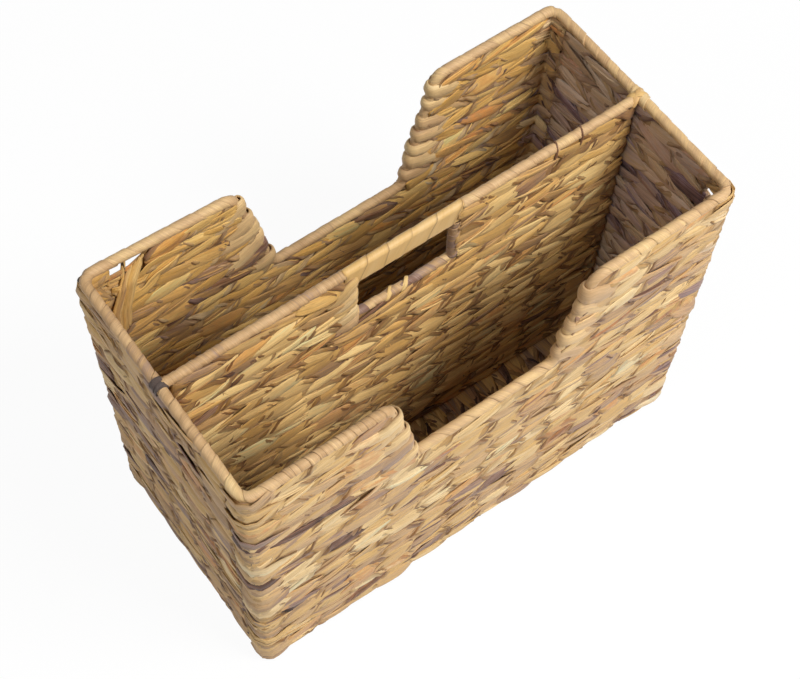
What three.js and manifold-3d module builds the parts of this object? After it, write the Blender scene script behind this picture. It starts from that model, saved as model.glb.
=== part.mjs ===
// Magazine basket: a welded wire frame with flat plant stems woven over it and wrapped round it.
// It has two compartments, a sloping notch in each long wall and a hand hole in the divider.
// Millimetres, +Z up. The origin is the middle of the underside, +X runs along the length and
// the front wall is at -Y.

import * as THREE from "three";
import { mergeVertices } from "three/addons/utils/BufferGeometryUtils.js";
import Module from "manifold-3d";

const wasm = await Module();
wasm.setup();

// Overall size over the weave
const length = 380;
const width = 190;
const height = 297;

// Weave: panel thickness, the pitch of its rows, how deep the groove between two rows is, and
// how far the top row is tucked up beside the wrapped rim
const wall = 9;
const rowPitch = 12;
const rowGroove = 0.9;
const rowTuck = 1.5;
const cornerRound = 7;
const footRound = 8;

// Swells on the outer faces of the long walls: how much weave stays over a stake where a row
// dips, and how far the crossings lean sideways from one row to the next
const stakeCover = 0.5;
const crossingLean = 5;

// Wire of the frame
const railWire = 4.5;
const stakeWire = 2.5;
const hoopBend = 8;
const stakeBend = 11;
const windowBend = 6;
const longWallBays = 13;
const endWallBays = 6;

// Wrapping: the finished diameter over a wire, the pitch of its turns and the step where one
// turn laps the next
const wrapDiameter = 9;
const turnPitch = 20;
const turnLap = 3;
const turnStep = 0.6;
const tieDiameter = 10;
const tieWidth = 10;

// Notch in the back wall, measured on the wire: how far its middle stands off the wall's
// middle, its width at the top and at its foot, the foot's height and the droop of its left tip
const notchOffset = 4.7;
const notchTopWidth = 162;
const notchFootWidth = 111;
const notchFootHeight = 184;
const backTipDroop = 7;

// Notch in the front wall, which is shallower and stands further left, as it is made by hand
const frontNotchOffset = -5.4;
const frontNotchTopWidth = 156.4;
const frontNotchFootWidth = 114.4;
const frontNotchFootHeight = 203;

// Where one wrapping stops and the next one starts: how far past a corner, a tip or a foot
const cornerReach = 16;
const tipReach = 10;
const footReach = 12;

// Hand hole in the divider, clear of its wraps, and the flat grip above it, which reaches this
// far down from the top
const holeLeft = -44.5;
const holeRight = 29.5;
const holeHeight = 36;
const gripDepth = 22;
const gripThickness = 10;

// Clearances: between pieces that touch, and how far a cutting shape runs past what it cuts
const gap = 0.3;
const overrun = 5;

// Facets
const wireSides = 6;
const stakeSides = 5;
const wrapSides = 8;
const gripArcSteps = 3;
const bendSteps = 3;
const roundSteps = 2;

// Places that follow from those sizes: the middle planes of the walls and the rails in them
const midX = length / 2 - wall / 2;
const midY = width / 2 - wall / 2;
const rimZ = height - wrapDiameter / 2;
const baseZ = wall / 2;
const innerX = length / 2 - wall - gap;
const innerY = width / 2 - wall - gap;
const dividerFoot = wall + gap;
const underWrap = wrapDiameter / 2 + gap - rowTuck;
const underRim = rimZ - underWrap;
const railRoom = railWire / 2 + gap;
const holeTop = height - gripDepth;
const holeBottom = holeTop - holeHeight;
const windowLeft = holeLeft - wrapDiameter / 2;
const windowRight = holeRight + wrapDiameter / 2;
const sillZ = holeBottom - wrapDiameter / 2;
const gripRodZ = holeTop + wrapDiameter / 2;

const point = (x, y, z) => new THREE.Vector3(x, y, z);

// A closed three.js geometry as a solid that can be cut and joined
function solidOf(geometry) {
  const bare = geometry.clone();
  bare.deleteAttribute("normal");
  bare.deleteAttribute("uv");
  const merged = mergeVertices(bare);
  const triVerts = new Uint32Array(merged.index.array);
  const vertProperties = merged.attributes.position.array;
  return new wasm.Manifold(new wasm.Mesh({ numProp: 3, vertProperties, triVerts }));
}

// A solid as a three.js geometry, flat shaded
function geometryOf(solid) {
  const mesh = solid.getMesh();
  const geometry = new THREE.BufferGeometry();
  geometry.setAttribute("position", new THREE.BufferAttribute(mesh.vertProperties, 3));
  geometry.setIndex(new THREE.BufferAttribute(mesh.triVerts, 1));
  const flat = geometry.toNonIndexed();
  flat.computeVertexNormals();
  return flat;
}

const joined = (solids) => solids.reduce((sum, solid) => sum.add(solid));

// Centre line of a bent rod: straight runs with every inner corner rounded to an arc
function bentLine(corners, bend) {
  const line = [corners[0]];
  for (let i = 1; i + 1 < corners.length; i++) {
    const corner = corners[i];
    const back = corners[i - 1].clone().sub(corner).normalize();
    const ahead = corners[i + 1].clone().sub(corner).normalize();
    const half = back.angleTo(ahead) / 2;
    const middle = back.clone().add(ahead).normalize();
    const centre = corner.clone().addScaledVector(middle, bend / Math.sin(half));
    const reach = bend / Math.tan(half);
    const start = corner.clone().addScaledVector(back, reach).sub(centre);
    const end = corner.clone().addScaledVector(ahead, reach).sub(centre);
    const turn = Math.PI - 2 * half;
    for (let k = 0; k <= bendSteps; k++) {
      const t = (k / bendSteps) * turn;
      const spoke = start.clone().multiplyScalar(Math.sin(turn - t) / Math.sin(turn));
      spoke.addScaledVector(end, Math.sin(t) / Math.sin(turn));
      line.push(spoke.add(centre));
    }
  }
  line.push(corners.at(-1));
  return line;
}

// Length along a line up to each of its points
function stationsOf(line) {
  const stations = [0];
  for (let i = 1; i < line.length; i++) {
    stations.push(stations[i - 1] + line[i].distanceTo(line[i - 1]));
  }
  return stations;
}

// Length along a line to the place nearest to a point
function stationAt(line, place) {
  const stations = stationsOf(line);
  let best = Infinity;
  let found = 0;
  for (let i = 1; i < line.length; i++) {
    const run = new THREE.Line3(line[i - 1], line[i]);
    const share = run.closestPointToPointParameter(place, true);
    const away = run.at(share, point(0, 0, 0)).distanceTo(place);
    if (away < best) {
      best = away;
      found = stations[i - 1] + share * run.distance();
    }
  }
  return found;
}

// The place at a length along a line
function placeAt(line, station) {
  const stations = stationsOf(line);
  const next = Math.max(1, stations.findIndex((s) => s >= station));
  const share = (station - stations[next - 1]) / (stations[next] - stations[next - 1]);
  return line[next - 1].clone().lerp(line[next], share);
}

// A curve that is sampled at its own points alone, so that straight runs stay single steps
class PointPath extends THREE.Curve {
  constructor(line) {
    super();
    this.line = line;
  }

  index(share) {
    return Math.round(share * (this.line.length - 1));
  }

  getPointAt(share, target = new THREE.Vector3()) {
    return target.copy(this.line[this.index(share)]);
  }

  getTangentAt(share, target = new THREE.Vector3()) {
    const at = this.index(share);
    const last = this.line.length - 1;
    const into = this.line[Math.max(1, at)].clone().sub(this.line[Math.max(1, at) - 1]);
    const next = Math.min(last, at + 1);
    const out = this.line[next].clone().sub(this.line[next - 1]);
    return target.copy(into.normalize().add(out.normalize())).normalize();
  }
}

// A round rod along a line
function rod(line, diameter, sides) {
  const section = new THREE.Shape();
  for (let k = 0; k < sides; k++) {
    const angle = (k / sides) * 2 * Math.PI;
    const x = (diameter / 2) * Math.cos(angle);
    const y = (diameter / 2) * Math.sin(angle);
    if (k === 0) section.moveTo(x, y);
    else section.lineTo(x, y);
  }
  const path = new PointPath(line);
  const options = { steps: line.length - 1, extrudePath: path, bevelEnabled: false };
  return solidOf(new THREE.ExtrudeGeometry(section, options));
}

// A closed solid through rings of points, each ring convex and turning the same way
function loft(rings) {
  const count = rings[0].length;
  const positions = rings.flat().flatMap((p) => [p.x, p.y, p.z]);
  const index = [];
  for (let r = 0; r + 1 < rings.length; r++) {
    for (let k = 0; k < count; k++) {
      const a = r * count + k;
      const b = r * count + ((k + 1) % count);
      index.push(a, b, b + count, a, b + count, a + count);
    }
  }
  const last = (rings.length - 1) * count;
  for (let k = 1; k + 1 < count; k++) {
    index.push(0, k + 1, k, last, last + k, last + k + 1);
  }
  const geometry = new THREE.BufferGeometry();
  geometry.setAttribute("position", new THREE.Float32BufferAttribute(positions, 3));
  geometry.setIndex(index);
  return solidOf(geometry);
}

// Lengths at which the turns of a wrapping start and lap, and how far each stands back
function turnsBetween(from, to) {
  const turns = Math.max(1, Math.round((to - from) / turnPitch));
  const pitch = (to - from) / turns;
  const marks = [];
  for (let k = 0; k < turns; k++) {
    marks.push({ at: from + k * pitch, step: 0 });
    marks.push({ at: from + (k + 1) * pitch - turnLap, step: turnStep });
  }
  marks.push({ at: to, step: 0 });
  return marks;
}

// How far the surface of a wrapping stands back at a length along it
function stepBack(marks, at) {
  const next = Math.max(1, marks.findIndex((mark) => mark.at >= at));
  const [a, b] = [marks[next - 1], marks[next]];
  return a.step + ((b.step - a.step) * (at - a.at)) / (b.at - a.at);
}

// The turns of flat stem round a wire, from one length along it to another. The wire's room is
// cut out later.
function wrapping(line, from, to, diameter) {
  const marks = turnsBetween(from, to);
  const bends = stationsOf(line).filter((s) => s > from && s < to);
  const stations = [...marks.map((mark) => mark.at), ...bends].sort((a, b) => a - b);
  const stretch = stations.map((station) => placeAt(line, station));
  const path = new PointPath(stretch);
  const frames = path.computeFrenetFrames(stretch.length - 1, false);
  const rings = stretch.map((centre, i) => {
    const radius = diameter / 2 - stepBack(marks, stations[i]);
    const ring = [];
    for (let k = 0; k < wrapSides; k++) {
      const angle = (k / wrapSides) * 2 * Math.PI;
      const spoke = frames.normals[i].clone().multiplyScalar(radius * Math.cos(angle));
      spoke.addScaledVector(frames.binormals[i], radius * Math.sin(angle));
      ring.push(spoke.add(centre));
    }
    return ring;
  });
  return loft(rings);
}

// Rods of the frame. Each function takes what is added to every diameter, so that the same
// rods, grown by twice the gap, cut their own room out of the weave and the wraps.

// A post, stake or rail between two points
function straightRod(from, to, diameter, sides) {
  return rod([from, to], diameter, sides);
}

// Corners of the rim wire over one long wall, in (x, z) from left to right
function rimCorners(middle, topWidth, footWidth, footHeight, leftTipDroop) {
  return [
    [-midX, rimZ],
    [middle - topWidth / 2, rimZ - leftTipDroop],
    [middle - footWidth / 2, footHeight],
    [middle + footWidth / 2, footHeight],
    [middle + topWidth / 2, rimZ],
    [midX, rimZ],
  ];
}

const frontCorners = rimCorners(
  frontNotchOffset,
  frontNotchTopWidth,
  frontNotchFootWidth,
  frontNotchFootHeight,
  0,
);
const backCorners = rimCorners(
  notchOffset,
  notchTopWidth,
  notchFootWidth,
  notchFootHeight,
  backTipDroop,
);

// The rim hoop is one rod, bent round the whole top and welded under the left tie
const hoopLine = bentLine(
  [
    point(-midX, gap / 2, rimZ),
    ...backCorners.map(([x, z]) => point(x, midY, z)),
    ...frontCorners.map(([x, z]) => point(x, -midY, z)).reverse(),
    point(-midX, -gap / 2, rimZ),
  ],
  hoopBend,
);

// Places of the stakes: even bays between the corner posts
const baysBetween = (reach, bays) =>
  Array.from({ length: bays - 1 }, (_, i) => -reach + ((i + 1) * 2 * reach) / bays);
const longStakeX = baysBetween(midX, longWallBays);
const endStakeY = baysBetween(midY, endWallBays);

// Height of the rim wire's centre above a place along a long wall
function rimHeightAt(corners, x) {
  const next = corners.findIndex((corner) => corner[0] >= x);
  const [a, b] = [corners[next - 1], corners[next]];
  return a[1] + ((b[1] - a[1]) * (x - a[0])) / (b[0] - a[0]);
}

// Height at which a stake stops under the rim wire, a gap clear of it and its bends
function stakeTop(corners, x) {
  const side = railRoom + stakeWire / 2;
  const heights = [-side, 0, side].map((shift) => rimHeightAt(corners, x + shift));
  return Math.min(...heights) - railRoom;
}

// Flat frame inside a long wall: foot rail and two posts bent from one rod, and its stakes
function longWallFrame(y, corners, grown) {
  const postTop = rimZ - railRoom;
  const outline = bentLine(
    [
      point(-midX, y, postTop),
      point(-midX, y, baseZ),
      point(midX, y, baseZ),
      point(midX, y, postTop),
    ],
    hoopBend,
  );
  const stakes = longStakeX.map((x) => {
    const top = point(x, y, stakeTop(corners, x));
    return straightRod(point(x, y, baseZ), top, stakeWire + grown, stakeSides);
  });
  return joined([rod(outline, railWire + grown, wireSides), ...stakes]);
}

// Long stake: down the left end, along the base and up the right end
function longStake(y, grown) {
  const top = rimZ - railRoom;
  const corners = [
    point(-midX, y, top),
    point(-midX, y, baseZ),
    point(midX, y, baseZ),
    point(midX, y, top),
  ];
  return rod(bentLine(corners, stakeBend), stakeWire + grown, stakeSides);
}

// Foot rail across one end, between the feet of the two flat frames
function endRail(x, grown) {
  const reach = midY - railRoom;
  return straightRod(point(x, -reach, baseZ), point(x, reach, baseZ), railWire + grown, wireSides);
}

// Divider frame: rails, end posts, stakes and the wire round the hand hole, welded as one
const dividerRailZ = dividerFoot + wall / 2;
const dividerPostX = innerX - wall / 2;
function dividerFrame(grown) {
  const rail = railWire + grown;
  const topReach = midX - railRoom;
  const parts = [
    straightRod(point(-topReach, 0, rimZ), point(topReach, 0, rimZ), rail, wireSides),
    rod(
      bentLine(
        [
          point(-dividerPostX, 0, rimZ),
          point(-dividerPostX, 0, dividerRailZ),
          point(dividerPostX, 0, dividerRailZ),
          point(dividerPostX, 0, rimZ),
        ],
        hoopBend,
      ),
      rail,
      wireSides,
    ),
    rod(
      bentLine(
        [
          point(windowLeft, 0, rimZ),
          point(windowLeft, 0, sillZ),
          point(windowRight, 0, sillZ),
          point(windowRight, 0, rimZ),
        ],
        windowBend,
      ),
      rail,
      wireSides,
    ),
    straightRod(point(windowLeft, 0, gripRodZ), point(windowRight, 0, gripRodZ), rail, wireSides),
  ];
  for (const x of longStakeX) {
    const overWindow = x > windowLeft && x < windowRight;
    const top = point(x, 0, overWindow ? sillZ : rimZ);
    parts.push(straightRod(point(x, 0, dividerRailZ), top, stakeWire + grown, stakeSides));
  }
  return joined(parts);
}

// Every rod of the frame by name
function steelRods(grown) {
  const rods = {
    rim_hoop: rod(hoopLine, railWire + grown, wireSides),
    front_frame: longWallFrame(-midY, frontCorners, grown),
    back_frame: longWallFrame(midY, backCorners, grown),
    left_foot_rail: endRail(-midX, grown),
    right_foot_rail: endRail(midX, grown),
    divider_frame: dividerFrame(grown),
  };
  endStakeY.forEach((y, i) => {
    rods["long_stake_" + (i + 1)] = longStake(y, grown);
  });
  return rods;
}

const steel = steelRods(0);
const steelRoom = joined(Object.values(steelRods(2 * gap)));

// Wraps of the rim, named in order round the hoop from the left tie: where each one stops
const tieHalf = tieWidth / 2;

// Place on a sloping side of a notch, a reach along it from one of its corners to the other
function onSlope(from, to, reach, y) {
  const a = point(from[0], y, from[1]);
  const b = point(to[0], y, to[1]);
  return a.addScaledVector(b.clone().sub(a).normalize(), reach);
}

// Stops along one long wall, from left to right
function wallStops(corners, y) {
  const [leftTip, leftFoot, rightFoot, rightTip] = corners.slice(1, -1);
  return [
    point(-midX + cornerReach, y, rimHeightAt(corners, -midX + cornerReach)),
    onSlope(leftTip, leftFoot, tipReach, y),
    onSlope(leftFoot, leftTip, footReach, y),
    onSlope(rightFoot, rightTip, footReach, y),
    onSlope(rightTip, rightFoot, tipReach, y),
    point(midX - cornerReach, y, rimZ),
  ];
}

const rimStops = [
  point(-midX, tieHalf, rimZ),
  point(-midX, midY - cornerReach, rimZ),
  ...wallStops(backCorners, midY),
  point(midX, midY - cornerReach, rimZ),
  point(midX, tieHalf, rimZ),
  point(midX, -tieHalf, rimZ),
  point(midX, cornerReach - midY, rimZ),
  ...wallStops(frontCorners, -midY).reverse(),
  point(-midX, cornerReach - midY, rimZ),
  point(-midX, -tieHalf, rimZ),
].map((stop) => stationAt(hoopLine, stop));

const rimWrapNames = [
  "left_rim_wrap_rear",
  "corner_wrap_back_left",
  "back_rim_wrap_left",
  "back_notch_wrap_left",
  "back_notch_wrap_foot",
  "back_notch_wrap_right",
  "back_rim_wrap_right",
  "corner_wrap_back_right",
  "right_rim_wrap_rear",
  "right_junction_tie",
  "right_rim_wrap_fore",
  "corner_wrap_front_right",
  "front_rim_wrap_right",
  "front_notch_wrap_right",
  "front_notch_wrap_foot",
  "front_notch_wrap_left",
  "front_rim_wrap_left",
  "corner_wrap_front_left",
  "left_rim_wrap_fore",
];

const wraps = {};
rimWrapNames.forEach((name, i) => {
  const diameter = name.endsWith("tie") ? tieDiameter : wrapDiameter;
  wraps[name] = wrapping(hoopLine, rimStops[i] + gap / 2, rimStops[i + 1] - gap / 2, diameter);
});

// A wrap along a straight line of its own
function straightWrap(from, to, diameter) {
  return wrapping([from, to], 0, from.distanceTo(to), diameter);
}

// The left tie closes over the hoop's weld
const leftTieReach = point(0, tieHalf - gap / 2, 0);
const leftTieMiddle = point(-midX, 0, rimZ);
wraps.left_junction_tie = straightWrap(
  leftTieMiddle.clone().sub(leftTieReach),
  leftTieMiddle.clone().add(leftTieReach),
  tieDiameter,
);

// The divider's rim on both sides of the grip, clear of the ties
const gripLeft = windowLeft - wrapDiameter / 2;
const gripRight = windowRight + wrapDiameter / 2;
const dividerRimEnd = midX - tieDiameter / 2 - gap;
wraps.divider_rim_wrap_left = straightWrap(
  point(-dividerRimEnd, 0, rimZ),
  point(gripLeft - gap, 0, rimZ),
  wrapDiameter,
);
wraps.divider_rim_wrap_right = straightWrap(
  point(gripRight + gap, 0, rimZ),
  point(dividerRimEnd, 0, rimZ),
  wrapDiameter,
);

// The sill of the hand hole and its right side. On the left the weave itself turns back.
wraps.hole_sill_wrap = straightWrap(
  point(holeLeft + gap, 0, sillZ),
  point(gripRight, 0, sillZ),
  wrapDiameter,
);
wraps.hole_side_wrap = straightWrap(
  point(windowRight, 0, holeBottom + gap),
  point(windowRight, 0, holeTop - gap),
  wrapDiameter,
);

// The grip: flat turns round the top rail and the rod below it, round at its top and bottom
function gripSection(x, step) {
  const half = gripThickness / 2 - step;
  const high = height - gripThickness / 2;
  const low = holeTop + gripThickness / 2;
  const ring = [];
  for (const [middle, start] of [[high, 0], [low, Math.PI]]) {
    for (let k = 0; k <= gripArcSteps; k++) {
      const angle = start + (k / gripArcSteps) * Math.PI;
      ring.push(point(x, half * Math.cos(angle), middle + half * Math.sin(angle)));
    }
  }
  return ring;
}
wraps.handle_wrap = loft(
  turnsBetween(gripLeft, gripRight).map((mark) => gripSection(mark.at, mark.step)),
);

// Room that the wraps take out of the weave: plain rods, grown by the gap
const wrapRoomDiameter = wrapDiameter + 2 * gap;
const tieRoomDiameter = tieDiameter + 2 * gap;
const acrossTie = tieHalf + gap;
const pastDivider = innerX + overrun;
const wrapRoom = joined([
  rod(hoopLine, wrapRoomDiameter, wrapSides),
  ...[-midX, midX].map((x) =>
    straightRod(point(x, -acrossTie, rimZ), point(x, acrossTie, rimZ), tieRoomDiameter, wrapSides),
  ),
  straightRod(
    point(-pastDivider, 0, rimZ),
    point(pastDivider, 0, rimZ),
    wrapRoomDiameter,
    wrapSides,
  ),
  straightRod(
    point(holeLeft, 0, sillZ),
    point(gripRight + gap, 0, sillZ),
    wrapRoomDiameter,
    wrapSides,
  ),
]);

// A solid from an outline in (x, z), this far each way from a plane across Y
function plateAcrossY(shape, middle, half) {
  const plate = new THREE.ExtrudeGeometry(shape, { depth: 2 * half, bevelEnabled: false });
  plate.rotateX(Math.PI / 2).translate(0, middle + half, 0);
  return solidOf(plate);
}

// Profile of stacked rows: grooved on one or both faces, thickness along x and rows along y
function rowProfile(thickness, from, to, bothFaces) {
  const rows = Math.max(1, Math.round((to - from) / rowPitch));
  const pitch = (to - from) / rows;
  const face = [];
  for (let i = 0; i < rows; i++) {
    const start = from + i * pitch;
    face.push([thickness / 2 - rowGroove, start]);
    face.push([thickness / 2, start + pitch / 2]);
  }
  face.push([thickness / 2 - rowGroove, to]);
  const other = bothFaces
    ? face.map(([x, y]) => [-x, y])
    : [[-thickness / 2, from], [-thickness / 2, to]];
  const outline = [...face, ...other.reverse()];
  return new THREE.Shape(outline.map(([x, y]) => new THREE.Vector2(x, y)));
}

// A stack of rows that run along X, in a wall at one Y, between two heights
function rowsAlongX(y, half, from, to) {
  const shape = rowProfile(wall, from, to, true);
  const rows = new THREE.ExtrudeGeometry(shape, { depth: 2 * half, bevelEnabled: false });
  const turn = new THREE.Matrix4().makeBasis(point(0, 1, 0), point(0, 0, 1), point(1, 0, 0));
  rows.applyMatrix4(turn).translate(-half, y, 0);
  return solidOf(rows);
}

// A stack of rows that run along Y, in an end wall at one X
function rowsAlongY(x, half, from, to) {
  const shape = rowProfile(wall, from, to, true);
  const rows = new THREE.ExtrudeGeometry(shape, { depth: 2 * half, bevelEnabled: false });
  rows.rotateX(Math.PI / 2).translate(x, half, 0);
  return solidOf(rows);
}

// An outline in (x, z) from corner points, with some corners rounded
function outlineOf(corners) {
  const shape = new THREE.Shape();
  corners.forEach(([x, z, round = 0], i) => {
    const before = corners[(i + corners.length - 1) % corners.length];
    const after = corners[(i + 1) % corners.length];
    const at = new THREE.Vector2(x, z);
    const towards = (other) => {
      const way = new THREE.Vector2(other[0], other[1]).sub(at).normalize();
      return at.clone().addScaledVector(way, round);
    };
    const arc = new THREE.QuadraticBezierCurve(towards(before), at, towards(after));
    const points = round > 0 ? arc.getPoints(roundSteps) : [at];
    points.forEach((p, k) => {
      if (i === 0 && k === 0) shape.moveTo(p.x, p.y);
      else shape.lineTo(p.x, p.y);
    });
  });
  return shape;
}

// A line in (x, z) moved sideways by a distance, to the right of the way it runs
function besideLine(line, distance) {
  const sides = line.slice(1).map(([x, z], i) => {
    const way = new THREE.Vector2(x - line[i][0], z - line[i][1]).normalize();
    const side = new THREE.Vector2(way.y, -way.x).multiplyScalar(distance);
    return { start: new THREE.Vector2(...line[i]).add(side), way };
  });
  const moved = [sides[0].start];
  for (let i = 1; i < sides.length; i++) {
    const [a, b] = [sides[i - 1], sides[i]];
    const across = b.start.clone().sub(a.start).cross(b.way) / a.way.cross(b.way);
    moved.push(a.start.clone().addScaledVector(a.way, across));
  }
  const end = sides.at(-1);
  const last = new THREE.Vector2(...line.at(-1)).sub(new THREE.Vector2(...line.at(-2)));
  moved.push(end.start.clone().addScaledVector(end.way, last.length()));
  return moved.map((p) => [p.x, p.y]);
}

// Long wall: rows under the wrapped rim, with its notch, and the corner columns at both ends
function longWallWeave(y, corners) {
  const top = besideLine(corners, underWrap);
  top[0][0] = -length / 2;
  top.at(-1)[0] = length / 2;
  const foot = [[-length / 2, 0, footRound], [length / 2, 0, footRound]];
  const outline = outlineOf([...top.reverse(), ...foot]);
  const plate = plateAcrossY(outline, y, wall);
  return rowsAlongX(y, length / 2, 0, underRim).intersect(plate);
}

// What lies outside the swells of the back wall's outer face. The two stems of a row swell over
// each stake and dip where they cross between two stakes, and the crossings lean one way along
// one row and the other way along the next.
function dipsOfBackWall() {
  const face = midY + wall / 2;
  const swellDepth = wall / 2 - stakeWire / 2 - gap - stakeCover;
  const rows = Math.max(1, Math.round(underRim / rowPitch));
  const pitch = underRim / rows;
  const bay = longStakeX[1] - longStakeX[0];
  const lineX = [longStakeX[0] - bay / 2, ...longStakeX.map((x) => x + bay / 2)];
  const last = lineX.length - 1;
  const points = [];
  const index = [];
  const put = (x, y, z) => points.push(point(x, y, z)) - 1;
  const crossings = [];
  for (let i = 0; i <= rows; i++) {
    const lean = i % 2 ? crossingLean : -crossingLean;
    const row = lineX.map((x, j) => {
      const onSide = j === 0 || j === last;
      const onBorder = onSide || i === 0 || i === rows;
      return put(onSide ? x : x + lean, face - (onBorder ? rowGroove : swellDepth), i * pitch);
    });
    crossings.push(row);
  }
  for (let i = 0; i < rows; i++) {
    for (let j = 0; j < last; j++) {
      const [below, above] = [crossings[i], crossings[i + 1]];
      const top = put(longStakeX[j], face, (i + 1 / 2) * pitch);
      const around = [below[j], below[j + 1], above[j + 1], above[j]];
      around.forEach((corner, k) => index.push(corner, around[(k + 1) % around.length], top));
    }
  }
  const border = [
    ...crossings[0].slice(0, -1),
    ...crossings.slice(0, -1).map((row) => row.at(-1)),
    ...crossings[rows].slice(1).reverse(),
    ...crossings.slice(1).map((row) => row[0]).reverse(),
  ];
  const outer = border.map((v) => put(points[v].x, face + overrun, points[v].z));
  const middle = put(0, face + overrun, underRim / 2);
  border.forEach((v, k) => {
    const next = (k + 1) % border.length;
    index.push(v, outer[k], outer[next], v, outer[next], border[next]);
    index.push(middle, outer[next], outer[k]);
  });
  const geometry = new THREE.BufferGeometry().setFromPoints(points);
  geometry.setIndex(index);
  return solidOf(geometry);
}

// Divider: rows between the ends, open at the hand hole and under the grip
function dividerWeave() {
  const underSill = sillZ - underWrap;
  const outline = outlineOf([
    [-innerX, dividerFoot],
    [innerX, dividerFoot],
    [innerX, underRim],
    [gripRight + gap, underRim],
    [gripRight + gap, underSill],
    [holeLeft, underSill],
    [holeLeft, holeTop - gap],
    [gripLeft - gap, holeTop - gap],
    [gripLeft - gap, underRim],
    [-innerX, underRim],
  ]);
  return rowsAlongX(0, innerX, dividerFoot, underRim).intersect(plateAcrossY(outline, 0, wall));
}

// Base: rows that run from front to back, flat underneath
function baseWeave() {
  const shape = rowProfile(wall, -innerX, innerX, false);
  const rows = new THREE.ExtrudeGeometry(shape, { depth: 2 * innerY, bevelEnabled: false });
  const turn = new THREE.Matrix4().makeBasis(point(0, 0, 1), point(1, 0, 0), point(0, 1, 0));
  rows.applyMatrix4(turn).translate(0, -innerY, baseZ);
  return solidOf(rows);
}

// The whole basket's rounded plan, which rounds the corner columns
function roundedPlan() {
  const [x, y] = [length / 2, width / 2];
  const corners = [[-x, -y], [x, -y], [x, y], [-x, y]].map((corner) => [...corner, cornerRound]);
  const plan = new THREE.ExtrudeGeometry(outlineOf(corners), {
    depth: height,
    bevelEnabled: false,
  });
  return solidOf(plan);
}

const plan = roundedPlan();
const backDips = dipsOfBackWall();
const frontDips = backDips.rotate([0, 0, 180]);
const weaves = {
  front_weave: longWallWeave(-midY, frontCorners).intersect(plan).subtract(frontDips),
  back_weave: longWallWeave(midY, backCorners).intersect(plan).subtract(backDips),
  left_end_weave: rowsAlongY(-midX, innerY, 0, underRim),
  right_end_weave: rowsAlongY(midX, innerY, 0, underRim),
  divider_weave: dividerWeave(),
  base_weave: baseWeave(),
};

// Colours of the dry stems and the wire
const finishes = {
  weave: { color: 0xc2a069, roughness: 0.72, metalness: 0 },
  wrap: { color: 0xd0b383, roughness: 0.66, metalness: 0 },
  grip: { color: 0xdcc18c, roughness: 0.62, metalness: 0 },
  tie: { color: 0x5b5450, roughness: 0.75, metalness: 0 },
  wire: { color: 0x6f6a63, roughness: 0.5, metalness: 0.6 },
};

// A named mesh whose geometry is centred on itself and placed by its position
function pieceOf(name, solid, finish) {
  const geometry = geometryOf(solid);
  geometry.computeBoundingBox();
  const centre = geometry.boundingBox.getCenter(new THREE.Vector3());
  geometry.translate(-centre.x, -centre.y, -centre.z);
  const mesh = new THREE.Mesh(geometry, new THREE.MeshStandardMaterial(finish));
  mesh.name = name;
  mesh.position.copy(centre);
  return mesh;
}

// Three groups: the welded frame, the woven panels and the wraps
const basket = new THREE.Group();

const frameGroup = new THREE.Group();
for (const [name, solid] of Object.entries(steel)) {
  frameGroup.add(pieceOf(name, solid, finishes.wire));
}

const weaveGroup = new THREE.Group();
for (const [name, solid] of Object.entries(weaves)) {
  const cut = solid.subtract(wrapRoom).subtract(steelRoom);
  weaveGroup.add(pieceOf(name, cut, finishes.weave));
}

const wrapGroup = new THREE.Group();
for (const [name, solid] of Object.entries(wraps)) {
  const finish = name.endsWith("tie") ? finishes.tie : finishes.wrap;
  const own = name === "handle_wrap" ? finishes.grip : finish;
  wrapGroup.add(pieceOf(name, solid.subtract(steelRoom), own));
}

basket.add(frameGroup, weaveGroup, wrapGroup);

export default basket;
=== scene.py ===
"""Magazine basket: flat dried stems twined over a wire frame, with wound rims and a wound grip.

Sizes are in millimetres and turned into metres when a mesh is made. +X runs along the length,
the front wall is at -Y and +Z is up, as in the CAD frame.
"""

import math

import bpy
import numpy as np
from mathutils import Matrix, Vector


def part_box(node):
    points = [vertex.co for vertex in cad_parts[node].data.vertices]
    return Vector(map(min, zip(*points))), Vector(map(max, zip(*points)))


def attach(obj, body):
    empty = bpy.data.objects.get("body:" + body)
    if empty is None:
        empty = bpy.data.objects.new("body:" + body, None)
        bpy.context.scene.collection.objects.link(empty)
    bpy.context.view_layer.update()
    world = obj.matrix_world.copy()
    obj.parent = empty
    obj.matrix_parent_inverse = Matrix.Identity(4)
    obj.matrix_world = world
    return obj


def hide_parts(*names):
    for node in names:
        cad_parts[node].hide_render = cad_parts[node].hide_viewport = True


MM = 0.001

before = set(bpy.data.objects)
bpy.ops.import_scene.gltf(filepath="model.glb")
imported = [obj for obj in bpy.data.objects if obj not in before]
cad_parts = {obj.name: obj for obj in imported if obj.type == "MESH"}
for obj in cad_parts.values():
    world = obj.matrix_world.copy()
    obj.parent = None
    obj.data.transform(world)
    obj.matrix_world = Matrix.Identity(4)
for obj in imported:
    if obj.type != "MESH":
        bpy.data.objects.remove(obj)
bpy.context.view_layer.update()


def box_mm(node):
    """Lowest and highest corner of a CAD node, in millimetres."""
    low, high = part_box(node)
    return np.array(low) / MM, np.array(high) / MM


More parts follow.
